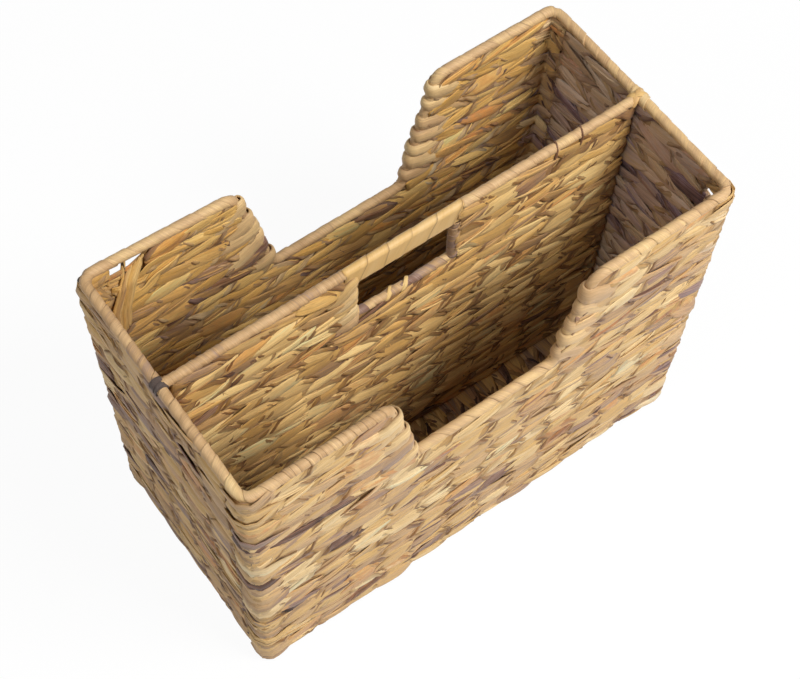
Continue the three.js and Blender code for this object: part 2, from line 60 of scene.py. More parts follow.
# Places read from the CAD frame
FRONT_LOW, FRONT_HIGH = box_mm("front_weave")
END_LOW, END_HIGH = box_mm("right_end_weave")
DIVIDER_LOW, DIVIDER_HIGH = box_mm("divider_weave")
BASE_LOW, BASE_HIGH = box_mm("base_weave")
GRIP_LOW, GRIP_HIGH = box_mm("handle_wrap")
SIDE_LOW, SIDE_HIGH = box_mm("hole_side_wrap")
MID_X = (END_LOW[0] + END_HIGH[0]) / 2
MID_Y = -(FRONT_LOW[1] + FRONT_HIGH[1]) / 2
TOP_Z = GRIP_HIGH[2]
HOLE_TOP = GRIP_LOW[2]
GRIP_LEFT, GRIP_RIGHT = GRIP_LOW[0], GRIP_HIGH[0]

# Sizes shared with the CAD source
WRAP_DIAMETER = 9.0
TIE_WIDTH = 10.0
HOOP_BEND = 8.0
LONG_WALL_BAYS = 13
END_WALL_BAYS = 6
# Each long wall's notch, on its wire: middle, width at the top, width at the foot, height of
# the foot and droop of the left tip
NOTCHES = {"front": (-5.4, 156.4, 114.4, 203.0, 0.0), "back": (4.7, 162.0, 111.0, 184.0, 7.0)}
CORNER_REACH = 16.0
TIP_REACH = 10.0
FOOT_REACH = 12.0

RIM_Z = TOP_Z - WRAP_DIAMETER / 2
WRAP_RADIUS = WRAP_DIAMETER / 2
WINDOW_LEFT = GRIP_LEFT + WRAP_RADIUS
WINDOW_RIGHT = GRIP_RIGHT - WRAP_RADIUS
SILL_Z = SIDE_LOW[2] - WRAP_RADIUS
HOLE_LEFT = WINDOW_LEFT + WRAP_RADIUS

# Twined stems: how far a stem swings out of the wall and up and down its row, its width and
# thickness in front of a stake and where the two stems of a row cross, and the mesh step
SWING_OUT = 2.3
SWING_UP = 3.1
LEAF_WIDTH = 14.0
CROSS_WIDTH = 7.0
LEAF_THICKNESS = 2.4
CROSS_THICKNESS = 5.4
LEAF_BOW = 1.2
ROW_SLIP = 0.45
LEAF_SLIP = 0.5
STEM_STEP = 2.6
STEM_SIDES = 12
CORNER_BEND = 4.5
CORNER_SWELL = 1.4
CORNER_SPREAD = 7.0
ROWS = 24
LOWER_ROWS = {"front": 16, "back": 15}
FOOT_ROOM = 0.8

# Blades: the flat folds of a stem that show over one stake, on both faces of a wall
BLADE_LENGTH = 50.0
BLADE_HEIGHT = 16.0
BLADE_OUT = 3.5
BLADE_TUCK = 2.9
BLADE_RISE = 3.7
BLADE_POINTS = 13
BLADE_SIDES = 8
BLADE_SLIP = 2.5
INNER_BLADE = 0.92
# Shares of blades with one, two, three and four folds, and of folds that are plain, dark or pale
FOLD_SHARES = [0.32, 0.34, 0.24, 0.1]
FOLD_TONES = [0.0, -0.34, 0.16]
FOLD_TONE_SHARES = [0.86, 0.08, 0.06]
# Painted shade along a strip's edges, standing for the thin shadow where it laps its neighbour,
# and the shares of blades with each
PAINTED_EDGE_SHADES = [0.1, 0.4, 0.9]
EDGE_SHARES = [0.5, 0.3, 0.2]
PALEST = 0.92

# Wound strips: rings in a turn, sides of a ring, and the length of stem that makes a turn
WIND_STEPS = 22
WIND_SIDES = 20
TURN_LENGTH = 26.0


def unit(vectors):
    """Vectors scaled to length one."""
    return vectors / np.linalg.norm(vectors, axis=-1, keepdims=True)


def srgb(red, green, blue):
    """A colour written in 0 to 255 sRGB, as linear red, green, blue and alpha."""
    out = []
    for value in (red, green, blue):
        v = value / 255
        out.append(v / 12.92 if v <= 0.04045 else ((v + 0.055) / 1.055) ** 2.4)
    return (*out, 1.0)


def wander(station, length, wavelength, rng, closed=False):
    """A smooth random value between -1 and 1 along a length, with its bumps a wavelength apart."""
    count = max(2, int(round(length / wavelength)))
    values = rng.uniform(-1, 1, count + 1)
    if closed:
        values[-1] = values[0]
    place = np.clip(station / length * count, 0, count - 1e-6)
    index = place.astype(int)
    share = place - index
    share = share * share * (3 - 2 * share)
    return values[index] * (1 - share) + values[index + 1] * share


def rounded_line(corners, bend, step):
    """Points about a step apart on a line through corners, with its inner corners rounded."""
    corners = [np.array(c, float) for c in corners]
    knots = [corners[0]]
    for before, corner, after in zip(corners, corners[1:], corners[2:]):
        back, ahead = unit(before - corner), unit(after - corner)
        half = math.acos(np.clip(back @ ahead, -1, 1)) / 2
        centre = corner + unit(back + ahead) * bend / math.sin(half)
        start = corner + back * bend / math.tan(half) - centre
        end = corner + ahead * bend / math.tan(half) - centre
        turn = math.pi - 2 * half
        for share in np.linspace(0, 1, 13):
            angle = share * turn
            spoke = start * math.sin(turn - angle) + end * math.sin(angle)
            knots.append(centre + spoke / math.sin(turn))
    knots.append(corners[-1])
    return resampled(np.array(knots), step)


def stations(line):
    """Length along a line up to each of its points."""
    return np.concatenate([[0], np.cumsum(np.linalg.norm(np.diff(line, axis=0), axis=1))])


def looked_up(at, along, vectors):
    """Vectors given at lengths along a line, read at other lengths."""
    return np.stack([np.interp(at, along, vectors[:, k]) for k in range(3)], -1)


def sampled(line, at):
    """Points of a line at given lengths along it."""
    return looked_up(at, stations(line), line)


def resampled(line, step):
    """The same line with points about a step apart."""
    length = stations(line)[-1]
    return sampled(line, np.linspace(0, length, max(2, int(round(length / step)) + 1)))


def station_near(line, place):
    """Length along a line to its point nearest to a place."""
    return stations(line)[np.argmin(np.linalg.norm(line - np.array(place), axis=1))]


def transported(line, first):
    """Two unit vectors square to a line at each point, turned as little as the line allows."""
    tangents = unit(np.gradient(line, axis=0))
    side = np.zeros_like(line)
    vector = np.array(first, float)
    for i, tangent in enumerate(tangents):
        vector = unit(vector - tangent * (vector @ tangent))
        side[i] = vector
    return side, np.cross(tangents, side)


class Strands:
    """Closed strips collected into one mesh, with their tone and places for the material."""

    def __init__(self):
        self.parts = []
        self.painted_bounce_and_shade = 0.0

    def add(self, centre, outward, width, thickness, tone, stain, shade, sides, crease, phase, bow,
            crisp, seam):
        """A closed strip along centre, flat side towards outward. All but sides, crease and crisp
        may be per point. A lower crisp makes its section squarer. The last value paints shade
        along its edges."""
        width, thickness, tone, stain, shade, phase, bow, seam = (
            np.broadcast_to(value, len(centre))
            for value in (width, thickness, tone, stain, shade, phase, bow, seam)
        )
        tangent = unit(np.gradient(centre, axis=0))
        outward = unit(outward - tangent * np.sum(outward * tangent, axis=1, keepdims=True))
        across = np.cross(outward, tangent)
        angle = np.arange(sides) / sides * 2 * math.pi
        x = np.sign(np.cos(angle)) * np.abs(np.cos(angle)) ** crisp
        y = np.sign(np.sin(angle)) * np.abs(np.sin(angle)) ** crisp
        ridge = np.cos(x[None, :] * math.pi * crease + phase[:, None]) * (1 - x[None, :] ** 4)
        reach = x[None, :] * width[:, None] / 2
        height = y[None, :] * thickness[:, None] / 2
        height = height + ridge * thickness[:, None] * 0.13 * np.abs(y)[None, :]
        height = height - bow[:, None] * x[None, :] ** 2
        points = (
            centre[:, None, :]
            + across[:, None, :] * reach[:, :, None]
            + outward[:, None, :] * height[:, :, None]
        )
        # Painted shade along the strip's edges, standing for the shadow where it laps its
        # neighbour
        edge = np.abs(x)[None, :] ** 8 * seam[:, None]
        self.keep(points, stations(centre), reach, tone, stain, shade[:, None] + edge)

    def keep(self, points, along, reach, tone, stain, shade):
        """Takes a strip as rings of points, with its values for each ring or each point."""
        count, sides = points.shape[:2]
        points[:, :, 2] = np.maximum(points[:, :, 2], 0.0)
        self.parts.append(
            {
                "points": points,
                "tone": np.repeat(tone, sides),
                "stain": np.repeat(stain, sides),
                "shade": np.clip(shade, 0, 1).ravel(),
                "along": np.repeat(along, sides),
                "across": reach.ravel(),
                "seed": np.full(count * sides, len(self.parts) * 7.31 % 613.0),
                "painted_bounce_and_shade": np.full(count * sides, self.painted_bounce_and_shade),
            }
        )

    def shelves(self):
        """For each strip, its place in a square sheet: left, low, and its scale both ways."""
        lengths = np.array([stations(p["points"].mean(axis=1))[-1] for p in self.parts]) + 1.0
        rounds = [np.concatenate([p["points"][len(p["points"]) // 2]] * 2) for p in self.parts]
        girths = np.array([
            stations(ring[: len(ring) // 2 + 1])[-1] for ring in rounds
        ]) + 0.5
        sheet = max(lengths.max(), math.sqrt((lengths * girths).sum()) * 1.02)
        places = [None] * len(self.parts)
        x = y = tall = 0.0
        for k in np.lexsort((-lengths, -girths.round(-1))):
            if x + lengths[k] > sheet:
                x, y, tall = 0.0, y + tall, 0.0
            places[k] = (x, y, girths[k])
            x += lengths[k]
            tall = max(tall, girths[k])
        top = y + tall
        return [(x / sheet, y / top, 1 / sheet, 0.94 * girth / top) for x, y, girth in places]

    def build(self, name, material):
        """The mesh object of all strips, in metres."""
        coordinates, corners, starts, uvs = [], [], [], []
        base = loop = 0
        for part, (left, low, scale_u, scale_v) in zip(self.parts, self.shelves()):
            count, sides = part["points"].shape[:2]
            coordinates.append(part["points"].reshape(-1, 3))
            grid = np.meshgrid(np.arange(count - 1), np.arange(sides), indexing="ij")
            i = grid[0].reshape(-1, 1) + [0, 0, 1, 1]
            j = grid[1].reshape(-1, 1) + [0, 1, 1, 0]
            corners.append((base + i * sides + j % sides).ravel())
            starts.append(loop + np.arange(len(i)) * 4)
            loop += i.size
            u = left + stations(part["points"].mean(axis=1)) * scale_u
            v = low + np.arange(sides + 1) / sides * scale_v
            uvs.append(np.stack([u[i], v[j]], 2).reshape(-1, 2))
            first = np.arange(sides)[::-1]
            last = (count - 1) * sides + np.arange(sides)
            for cap, place in ((first, u[0]), (last, u[-1])):
                corners.append(cap + base)
                starts.append(np.array([loop]))
                loop += sides
                uvs.append(np.stack([np.full(sides, place), v[cap % sides]], 1))
            base += count * sides
        mesh = bpy.data.meshes.new(name)
        coordinates = np.concatenate(coordinates) * MM
        corners = np.concatenate(corners).astype(np.int32)
        starts = np.concatenate(starts).astype(np.int32)
        mesh.vertices.add(len(coordinates))
        mesh.vertices.foreach_set("co", coordinates.astype(np.float32).ravel())
        mesh.loops.add(len(corners))
        mesh.polygons.add(len(starts))
        mesh.polygons.foreach_set("loop_start", starts)
        mesh.loops.foreach_set("vertex_index", corners)
        mesh.update(calc_edges=True)
        mesh.polygons.foreach_set("use_smooth", np.ones(len(starts), bool))
        for key in ("tone", "stain", "shade", "along", "across", "seed", "painted_bounce_and_shade"):
            values = np.concatenate([part[key] for part in self.parts])
            layer = mesh.attributes.new(key, "FLOAT", "POINT")
            layer.data.foreach_set("value", values.astype(np.float32))
        layer = mesh.uv_layers.new(name="OFBake")
        layer.data.foreach_set("uv", np.concatenate(uvs).astype(np.float32).ravel())
        mesh.validate()
        mesh.materials.append(material)
        made = bpy.data.objects.new(name, mesh)
        bpy.context.scene.collection.objects.link(made)
        return made


def finished(strands, name, slot, *nodes):
    """Builds the strips' object, rides it on the basket and lets it stand for CAD nodes."""
    made = strands.build(name, MATERIALS[slot])
    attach(made, "root")
    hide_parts(*nodes)


# Materials

PALE = srgb(234, 207, 158)
STRAW = srgb(216, 183, 130)
GOLDEN = srgb(206, 167, 104)
TAN = srgb(184, 148, 104)
MAUVE = srgb(150, 124, 112)
BLUSH = srgb(200, 165, 122)
BROWN = srgb(122, 86, 66)
UMBER = srgb(72, 50, 40)
ORANGE = srgb(202, 140, 84)
OLIVE = srgb(180, 158, 100)
SAGE = srgb(206, 200, 164)
ASH = srgb(96, 88, 84)
# Colours that others are multiplied by: painted golden bounce light inside the basket,
# painted bluish shade on the right end, and painted shade in deep creases
PAINTED_BOUNCE_AMBER = srgb(255, 241, 194)
PAINTED_COOL_SHADE = (0.9, 1.0, 1.6, 1.0)
PAINTED_CREVICE_SHADE = srgb(112, 80, 60)


class Nodes:
    """Short calls that add shader nodes to a material or a world."""

    def __init__(self, owner, output):
        owner.use_nodes = True
        self.owner = owner
        self.tree = owner.node_tree
        self.tree.nodes.clear()
        self.output = self.add(output)

    def add(self, kind, inputs=(), **settings):
        """A new node with its settings, and its inputs linked or set by name or number."""
        node = self.tree.nodes.new("ShaderNode" + kind)
        for key, value in settings.items():
            setattr(node, key, value)
        for key, value in dict(inputs).items():
            if isinstance(value, bpy.types.NodeSocket):
                self.tree.links.new(value, node.inputs[key])
            elif value is not None:
                node.inputs[key].default_value = value
        return node

    def finish(self, shader):
        """Links the last shader to the output, and gives back the material or world."""
        self.tree.links.new(shader.outputs[0], self.output.inputs[0])
        return self.owner

    def attribute(self, name):
        return self.add("Attribute", attribute_name=name).outputs["Fac"]

    def math(self, operation, a, b=None, clamp=False):
        return self.add("Math", {0: a, 1: b}, operation=operation, use_clamp=clamp).outputs[0]

    def vector(self, x, y, z):
        return self.add("CombineXYZ", {0: x, 1: y, 2: z}).outputs[0]

    def noise(self, vector, scale, detail=2.0, roughness=0.5):
        inputs = {"Vector": vector, "Scale": scale, "Detail": detail, "Roughness": roughness}
        return self.add("TexNoise", inputs).outputs["Fac"]

    def span(self, value, low, high, to_low=0.0, to_high=1.0):
        """A value mapped from one range to another, and clamped."""
        inputs = {"Value": value, "From Min": low, "From Max": high, "To Min": to_low,
                  "To Max": to_high}
        return self.add("MapRange", inputs).outputs["Result"]

    def ramp(self, value, stops):
        node = self.add("ValToRGB", {0: value})
        elements = node.color_ramp.elements
        while len(elements) < len(stops):
            elements.new(0.5)
        for element, (place, colour) in zip(elements, stops):
            element.position = place
            element.color = colour
        return node.outputs[0]

    def mix(self, factor, a, b, blend="MIX"):
        inputs = {0: factor, 6: a, 7: b}
        return self.add("Mix", inputs, data_type="RGBA", blend_type=blend).outputs[2]

    def times(self, colour, other, factor=1.0):
        """A colour multiplied by another."""
        return self.mix(factor, colour, other, "MULTIPLY")

    def bump(self, height, strength, distance):
        inputs = {"Strength": strength, "Distance": distance, "Height": height}
        return self.add("Bump", inputs).outputs[0]


def stem_material(name, stops, stain_colour, roughness, streaky=0.08, grain=1.0):
    """Dried plant stem: tone by stem and stretch, streaks, long fibres, pleats, specks, stains,
    with painted shade in pleats, creases, gaps and at edges, painted golden bounce light inside
    the basket and painted bluish shade.
    """
    n = Nodes(bpy.data.materials.new(name), "OutputMaterial")
    along = n.attribute("along")
    across = n.attribute("across")
    seed = n.attribute("seed")

    def place(stretch, wide):
        return n.vector(n.math("MULTIPLY", along, stretch), n.math("MULTIPLY", across, wide), seed)

    fine = n.noise(place(0.045, 1.0), 3.2, 3.0, 0.65)
    streak = n.noise(place(0.016, 1.1), 1.0, 2.0, 0.55)
    coarse = n.noise(place(0.02, 0.45), 1.6, 2.0, 0.55)
    patch = n.noise(place(0.035, 0.12), 1.0, 2.0)
    blotch = n.noise(place(0.16, 0.22), 1.0, 3.0, 0.6)
    speck = n.noise(place(0.5, 1.0), 1.1, 1.0)

    tone = n.math("ADD", n.attribute("tone"), n.span(patch, 0.25, 0.75, -0.1, 0.1))
    tone = n.math("ADD", tone, n.span(streak, 0.3, 0.7, -streaky, streaky))
    tone = n.math("ADD", tone, n.span(fine, 0.3, 0.7, -0.05, 0.05))
    colour = n.ramp(tone, stops)
    stain = n.math("MULTIPLY", n.attribute("stain"), n.span(blotch, 0.35, 0.6, 0.2, 1.0))
    colour = n.mix(stain, colour, stain_colour)
    fibres = n.span(fine, 0.28, 0.62, 1 - 0.14 * grain, 1 + 0.06 * grain)
    colour = n.times(colour, n.vector(fibres, fibres, fibres))
    # Painted shade in the grooves of the pleats and in the hollows of the coarse bump, slightly
    # browner
    pleat = n.span(n.math("ABSOLUTE", n.math("SUBTRACT", streak, 0.5)), 0.0, 0.03)
    painted_pleat_shade = n.math("MULTIPLY", n.span(pleat, 0.0, 1.0, 1 - 0.26 * grain, 1.0),
                   n.span(coarse, 0.3, 0.42, 1 - 0.2 * grain, 1.0))
    browner = n.vector(painted_pleat_shade, n.math("MULTIPLY", painted_pleat_shade, 0.98), n.math("MULTIPLY", painted_pleat_shade, 0.94))
    colour = n.times(colour, browner, 0.8)
    colour = n.mix(n.span(speck, 0.72, 0.8, 0.0, 0.5), colour, BROWN)
    # Painted light: golden bounce light where the value is above zero, bluish shade where it is
    # below
    painted_bounce_and_shade = n.attribute("painted_bounce_and_shade")
    colour = n.mix(painted_bounce_and_shade, colour, n.times(colour, PAINTED_BOUNCE_AMBER))
    painted_cool_share = n.math("MULTIPLY", painted_bounce_and_shade, -1.0, clamp=True)
    colour = n.mix(painted_cool_share, colour, n.times(colour, PAINTED_COOL_SHADE))
    # Painted shade: the shade attribute darkens creases, gaps, crossings and lapped edges towards
    # a dark brown
    dark = n.span(n.attribute("shade"), 0.1, 1.0, 0.0, 0.85)
    colour = n.mix(dark, colour, n.times(colour, PAINTED_CREVICE_SHADE))
    height = n.math("ADD", n.math("MULTIPLY", fine, 0.45), n.math("MULTIPLY", coarse, 0.9))
    height = n.math("ADD", height, n.math("MULTIPLY", pleat, 0.22))
    return n.finish(n.add("BsdfPrincipled", {
        "Base Color": colour,
        "Roughness": n.span(fine, 0.2, 0.8, roughness - 0.07, roughness + 0.1),
        "Specular IOR Level": 0.34,
        "Sheen Weight": 0.05,
        "Sheen Roughness": 0.5,
        "Normal": n.bump(height, 0.8 * grain, 0.5 * MM),
    }))


WEAVE_STOPS = [
    (0.0, UMBER),
    (0.1, BROWN),
    (0.22, MAUVE),
    (0.34, TAN),
    (0.44, BLUSH),
    (0.56, GOLDEN),
    (0.7, STRAW),
    (0.92, PALE),
    (1.0, SAGE),
]
WRAP_STOPS = [
    (0.0, UMBER),
    (0.12, BROWN),
    (0.28, MAUVE),
    (0.45, TAN),
    (0.62, BLUSH),
    (0.78, STRAW),
    (1.0, PALE),
]
GRIP_STOPS = [(0.0, BROWN), (0.3, OLIVE), (0.6, GOLDEN), (0.85, STRAW), (1.0, PALE)]
DARK_STOPS = [(0.0, UMBER), (0.5, ASH), (1.0, MAUVE)]

MATERIALS = {
    "woven_stem": stem_material("woven_stem", WEAVE_STOPS, ORANGE, 0.6),
    "wrapped_stem": stem_material("wrapped_stem", WRAP_STOPS, BROWN, 0.52, 0.09, 0.7),
    "grip_stem": stem_material("grip_stem", GRIP_STOPS, GOLDEN, 0.48, 0.05, 0.25),
    "dark_stem": stem_material("dark_stem", DARK_STOPS, UMBER, 0.62),
}


def wire_material():
    """Steel wire with worn, slightly uneven paint."""
    n = Nodes(bpy.data.materials.new("frame_wire"), "OutputMaterial")
    place = n.add("TexCoord").outputs["Object"]
    grain = n.noise(place, 900.0, 3.0, 0.6)
    worn = n.noise(place, 140.0, 4.0, 0.6)
    paint = [(0.0, srgb(62, 54, 46)), (0.62, srgb(84, 74, 62)), (0.8, srgb(120, 104, 86))]
    return n.finish(n.add("BsdfPrincipled", {
        "Base Color": n.ramp(worn, paint),
        "Metallic": 0.4,
        "Roughness": n.span(grain, 0.2, 0.8, 0.38, 0.6),
        "Normal": n.bump(grain, 0.3, 0.2 * MM),
    }))


wire = wire_material()
STEEL = ["rim_hoop", "front_frame", "back_frame", "left_foot_rail", "right_foot_rail"]
STEEL += ["divider_frame"] + ["long_stake_%d" % (k + 1) for k in range(END_WALL_BAYS - 1)]
for node_name in STEEL:
    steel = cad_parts[node_name]
    steel.data.materials.clear()
    steel.data.materials.append(wire)


# Twined weave


class Wall:
    """A line that rows of twined stems follow, with the wall's outward side and its stakes."""

    # Tone added to stems and to inner blades, width where stems cross, painted shade on the stems
    # under the blades, so that gaps between blades look dark, and height of the blades
    tint = 0.0
    inner_tint = 0.0
    fullness = 1.0
    core = 0.0
    blade_height = BLADE_HEIGHT

    def __init__(self, line, outward, rise, stakes, closed=False):
        self.line = line
        self.outward = outward
        self.rise = rise
        self.station = stations(line)
        self.length = self.station[-1]
        self.closed = closed
        self.painted_bounce_and_shade = np.zeros(len(line))
        self.inner_painted_bounce_and_shade = np.zeros(len(line))
        knots = np.array(stakes)
        phases = np.arange(len(knots)) * math.pi
        self.phase = np.interp(self.station, knots, phases)
        before = self.station < knots[0]
        after = self.station > knots[-1]
        slope_in = math.pi / (knots[1] - knots[0])
        slope_out = math.pi / (knots[-1] - knots[-2])
        self.phase[before] = phases[0] + (self.station[before] - knots[0]) * slope_in
        self.phase[after] = phases[-1] + (self.station[after] - knots[-1]) * slope_out

    def drift(self, rng):
        """A smooth random value along the wall, as a function of its wavelength."""
        return lambda wavelength: wander(self.station, self.length, wavelength, rng, self.closed)

    def row(self, strands_for, level, lean, rng, tones, spans, lift=0.0, room=1.0, push=0.0,
            blades=(1, -1)):
        """Two stems twined along the wall at one level. Each span of stations goes to its own
        strands. lean is 1 or -1, the way the row's leaves slope, and push is how far the outer
        stem stands out further, at each station."""
        s = self.station
        drift = self.drift(rng)
        level_line = level + 0.8 * drift(70.0) + lift
        slip = ROW_SLIP * rng.uniform(-1, 1) + LEAF_SLIP * drift(34.0)
        row_phase = self.phase + slip
        push = np.zeros(len(s)) + push
        row_tones = []
        for stem in range(2):
            phase = row_phase + stem * math.pi + 0.1 * drift(28.0)
            cos, sin = np.cos(phase), np.sin(phase)
            flat = np.abs(cos) ** 1.1
            up = lean * SWING_UP * room * (sin + 0.16 * drift(24.0))
            out = SWING_OUT * np.sign(cos) * np.abs(cos) ** 0.8 * (1 + 0.18 * drift(31.0))
            out = out + push * np.maximum(cos, 0) ** 0.5
            centre = (
                self.line
                + self.outward * (out + 0.2 * drift(16.0))[:, None]
                + self.rise * (up + level_line)[:, None]
            )
            turn = phase - 0.42 * np.sin(2 * phase) + 0.2 * drift(27.0)
            facing = (
                self.outward * np.cos(turn)[:, None] + self.rise * (lean * np.sin(turn))[:, None]
            )
            cross = CROSS_WIDTH * self.fullness
            width = (cross + (LEAF_WIDTH - cross) * flat) * room
            width = width * (1 + 0.15 * drift(27.0))
            thickness = CROSS_THICKNESS + (LEAF_THICKNESS - CROSS_THICKNESS) * flat
            tone, stain = tones(self, rng)
            row_tones.append((tone, stain))
            # Painted shade: the stems are darker under the blades and where the two stems cross
            shade = self.core + 0.3 * (1 - np.abs(cos)) ** 3
            # Painted shade along the stems' edges, where they lap
            seam = np.clip(0.35 + 0.5 * drift(26.0), 0, 1)
            pleats = rng.uniform(1.6, 2.7)
            ridge = rng.uniform(0, 6) + 1.5 * drift(40.0)
            for target, start, stop in spans:
                keep = (s >= start) & (s <= stop)
                # The stems take the wall's painted bounce light and shade where they run
                strands_for[target].painted_bounce_and_shade = self.painted_bounce_and_shade[keep].mean() if keep.any() else 0.0
                if keep.sum() > 3:
                    strands_for[target].add(
                        centre[keep], facing[keep], width[keep], thickness[keep], tone[keep],
                        stain[keep], shade[keep], STEM_SIDES, pleats, ridge[keep],
                        (LEAF_BOW * flat)[keep], 0.8, seam[keep],
                    )
        for k in range(math.ceil(row_phase[0] / math.pi), int(row_phase[-1] / math.pi) + 1):
            middle = np.interp(k * math.pi, row_phase, s)
            target, start, stop = next(
                (span for span in spans if span[1] <= middle <= span[2]), (None, 0, 0)
            )
            if target is None:
                continue
            for face in blades:
                # Each face takes its own painted bounce light and shade
                painted_bounce_and_shade = self.painted_bounce_and_shade if face > 0 else self.inner_painted_bounce_and_shade
                strands_for[target].painted_bounce_and_shade = np.interp(middle, s, painted_bounce_and_shade)
                tone, stain = row_tones[k % 2 if face > 0 else (k + 1) % 2]
                own = tone + (self.inner_tint if face < 0 else 0.0)
                self.blade(strands_for[target], middle, start, stop, face, level_line, lean,
                           rng, np.interp(middle, s, own), np.interp(middle, s, stain),
                           np.interp(middle, s, push), room)

    def blade(self, strands, middle, start, stop, face, level_line, lean, rng, tone, stain, push,
              room):
        """The flat folds of one stem over a stake, on the outer face or, for -1, the inner."""
        folds = rng.choice([1, 2, 3, 4], p=FOLD_SHARES)
        total = self.blade_height * room * rng.uniform(0.85, 1.15)
        if face < 0:
            total = total * INNER_BLADE
        rise = BLADE_RISE * room * rng.uniform(0.75, 1.15)
        out = BLADE_OUT + rng.uniform(-0.45, 0.75) + (push if face > 0 else 0)
        roll = rng.uniform(-0.22, 0.22)
        slip = rng.uniform(-BLADE_SLIP, BLADE_SLIP)
        tone = tone + rng.uniform(-0.1, 0.1)
        for fold in rng.permutation(folds):
            share = (fold + 0.5) / folds * 2 - 1
            reach = BLADE_LENGTH * rng.uniform(0.82, 1.12) / 2
            u = np.linspace(-1, 1, BLADE_POINTS)
            at = middle + slip + rng.uniform(-2, 2) + u * reach
            keep = (at > start - 1) & (at < stop + 1)
            if keep.sum() < 5:
                continue
            u, at = u[keep], at[keep]
            line = looked_up(at, self.station, self.line)
            away = unit(looked_up(at, self.station, self.outward))
            rising = np.interp(at, self.station, level_line)
            width = total / folds * (1.2 if folds > 1 else 1.0) * rng.uniform(0.85, 1.2)
            taper = (1 - np.abs(u) ** rng.uniform(2.3, 4.2)) ** 0.8
            spread = share * (total - width) / 2 * (0.35 + 0.65 * taper)
            curl = rng.uniform(-0.8, 0.8) * (1 - u**2)
            up = face * lean * rise * np.sin(u * 1.35) + spread + curl
            depth = out - BLADE_TUCK * np.abs(u) ** 2.4 + rng.uniform(-0.25, 0.35)
            depth = depth - 0.5 * share**2
            turn = roll + rng.uniform(-0.16, 0.16) + 0.25 * share + face * lean * 0.75 * u**3
            facing = away * (face * np.cos(turn))[:, None] + self.rise * np.sin(turn)[:, None]
            own = tone + rng.uniform(-0.08, 0.08)
            own += rng.choice(FOLD_TONES, p=FOLD_TONE_SHARES) if folds > 1 else 0.0
            own = np.clip(own, 0.05, PALEST)
            flush = 0.75 if folds > 1 and rng.random() < 0.05 else 0.0
            centre = line + away * (face * depth)[:, None] + self.rise * (rising + up)[:, None]
            # Painted shade: the folds darken towards their ends, where they tuck under, and along
            # some edges
            strands.add(
                centre, facing, 1.0 + (width - 1.0) * taper, rng.uniform(1.0, 1.5), own,
                max(stain, flush), 0.45 * np.abs(u) ** 5, BLADE_SIDES + (0 if folds > 1 else 4),
                rng.uniform(1.2, 2.4), rng.uniform(0, 6) + 0.8 * u, 0.05 * width, 0.7,
                rng.choice(PAINTED_EDGE_SHADES, p=EDGE_SHARES),
            )


# Base tones of the woven stems, and the share of each
STEM_TONES = [0.42, 0.52, 0.6, 0.68, 0.76, 0.84]
STEM_SHARES = [0.1, 0.18, 0.22, 0.24, 0.18, 0.08]


def weave_tones(wall, rng):
    """Tone and stain along one stem: mostly straw, with a few brown, mauve or orange stretches."""
    drift = wall.drift(rng)
    base = rng.choice(STEM_TONES, p=STEM_SHARES)
    tone = base + 0.08 * drift(120.0) + 0.13 * drift(27.0) + wall.tint
    dark = np.clip(drift(38.0) - 0.78, 0, 1) * 2.4
    stain = np.clip(drift(46.0) - 0.56, 0, 1) * 1.7
    return np.clip(tone - dark, 0.03, PALEST), np.clip(stain, 0, 0.75)


def bays(reach, count):
    """Places of the stakes in even bays between two posts."""
    return [-reach + (k + 1) * 2 * reach / count for k in range(count - 1)]


def levels(low, high, count):
    """Middles of even rows between two heights."""
    return [low + (k + 0.5) * (high - low) / count for k in range(count)]


LONG_STAKES = bays(MID_X, LONG_WALL_BAYS)
END_STAKES = bays(MID_Y, END_WALL_BAYS)
END_BAY = 2 * MID_Y / END_WALL_BAYS

# The ring of the four walls. It starts on the left end, half a bay behind the front corner.
START_Y = END_BAY / 2 - MID_Y
ring_corners = [
    (-MID_X, START_Y, 0),
    (-MID_X, -MID_Y, 0),
    (MID_X, -MID_Y, 0),
    (MID_X, MID_Y, 0),
    (-MID_X, MID_Y, 0),
    (-MID_X, START_Y, 0),
]
ring_fine = rounded_line(ring_corners, CORNER_BEND, 0.3)
bends = np.array([station_near(ring_fine, corner) for corner in ring_corners[1:-1]])
ring_length = stations(ring_fine)[-1]
places = np.linspace(0, ring_length, int(round(2 * ring_length / STEM_STEP)) + 1)
near = np.abs(places[:, None] - bends[None, :]).min(axis=1) < 3 * CORNER_BEND
even = np.arange(len(places)) % 2 == 0
even[-1] = True
ring_line = sampled(ring_fine, places[even | near])
ring_tangent = unit(np.gradient(ring_line, axis=0))
UP = np.array([0.0, 0.0, 1.0])
ring_outward = np.cross(ring_tangent, UP)


def on_ring(x, y):
    """Length along the ring to the point nearest to a place in plan."""
    return station_near(ring_line, (x, y, 0))


posts = [(-MID_X, -MID_Y), (MID_X, -MID_Y), (MID_X, MID_Y), (-MID_X, MID_Y)]
ring_stakes = []
for post, between in zip(posts, [
    [(x, -MID_Y) for x in LONG_STAKES], [(MID_X, y) for y in END_STAKES],
    [(x, MID_Y) for x in LONG_STAKES[::-1]], [(-MID_X, y) for y in END_STAKES[::-1]],
]):
    ring_stakes += [on_ring(x, y) for x, y in [post, *between]]
ring = Wall(ring_line, ring_outward, UP, ring_stakes, closed=True)
from_bends = ring.station[:, None] - bends[None, :]
swell = CORNER_SWELL * np.exp(-((from_bends / CORNER_SPREAD) ** 2)).sum(axis=1)
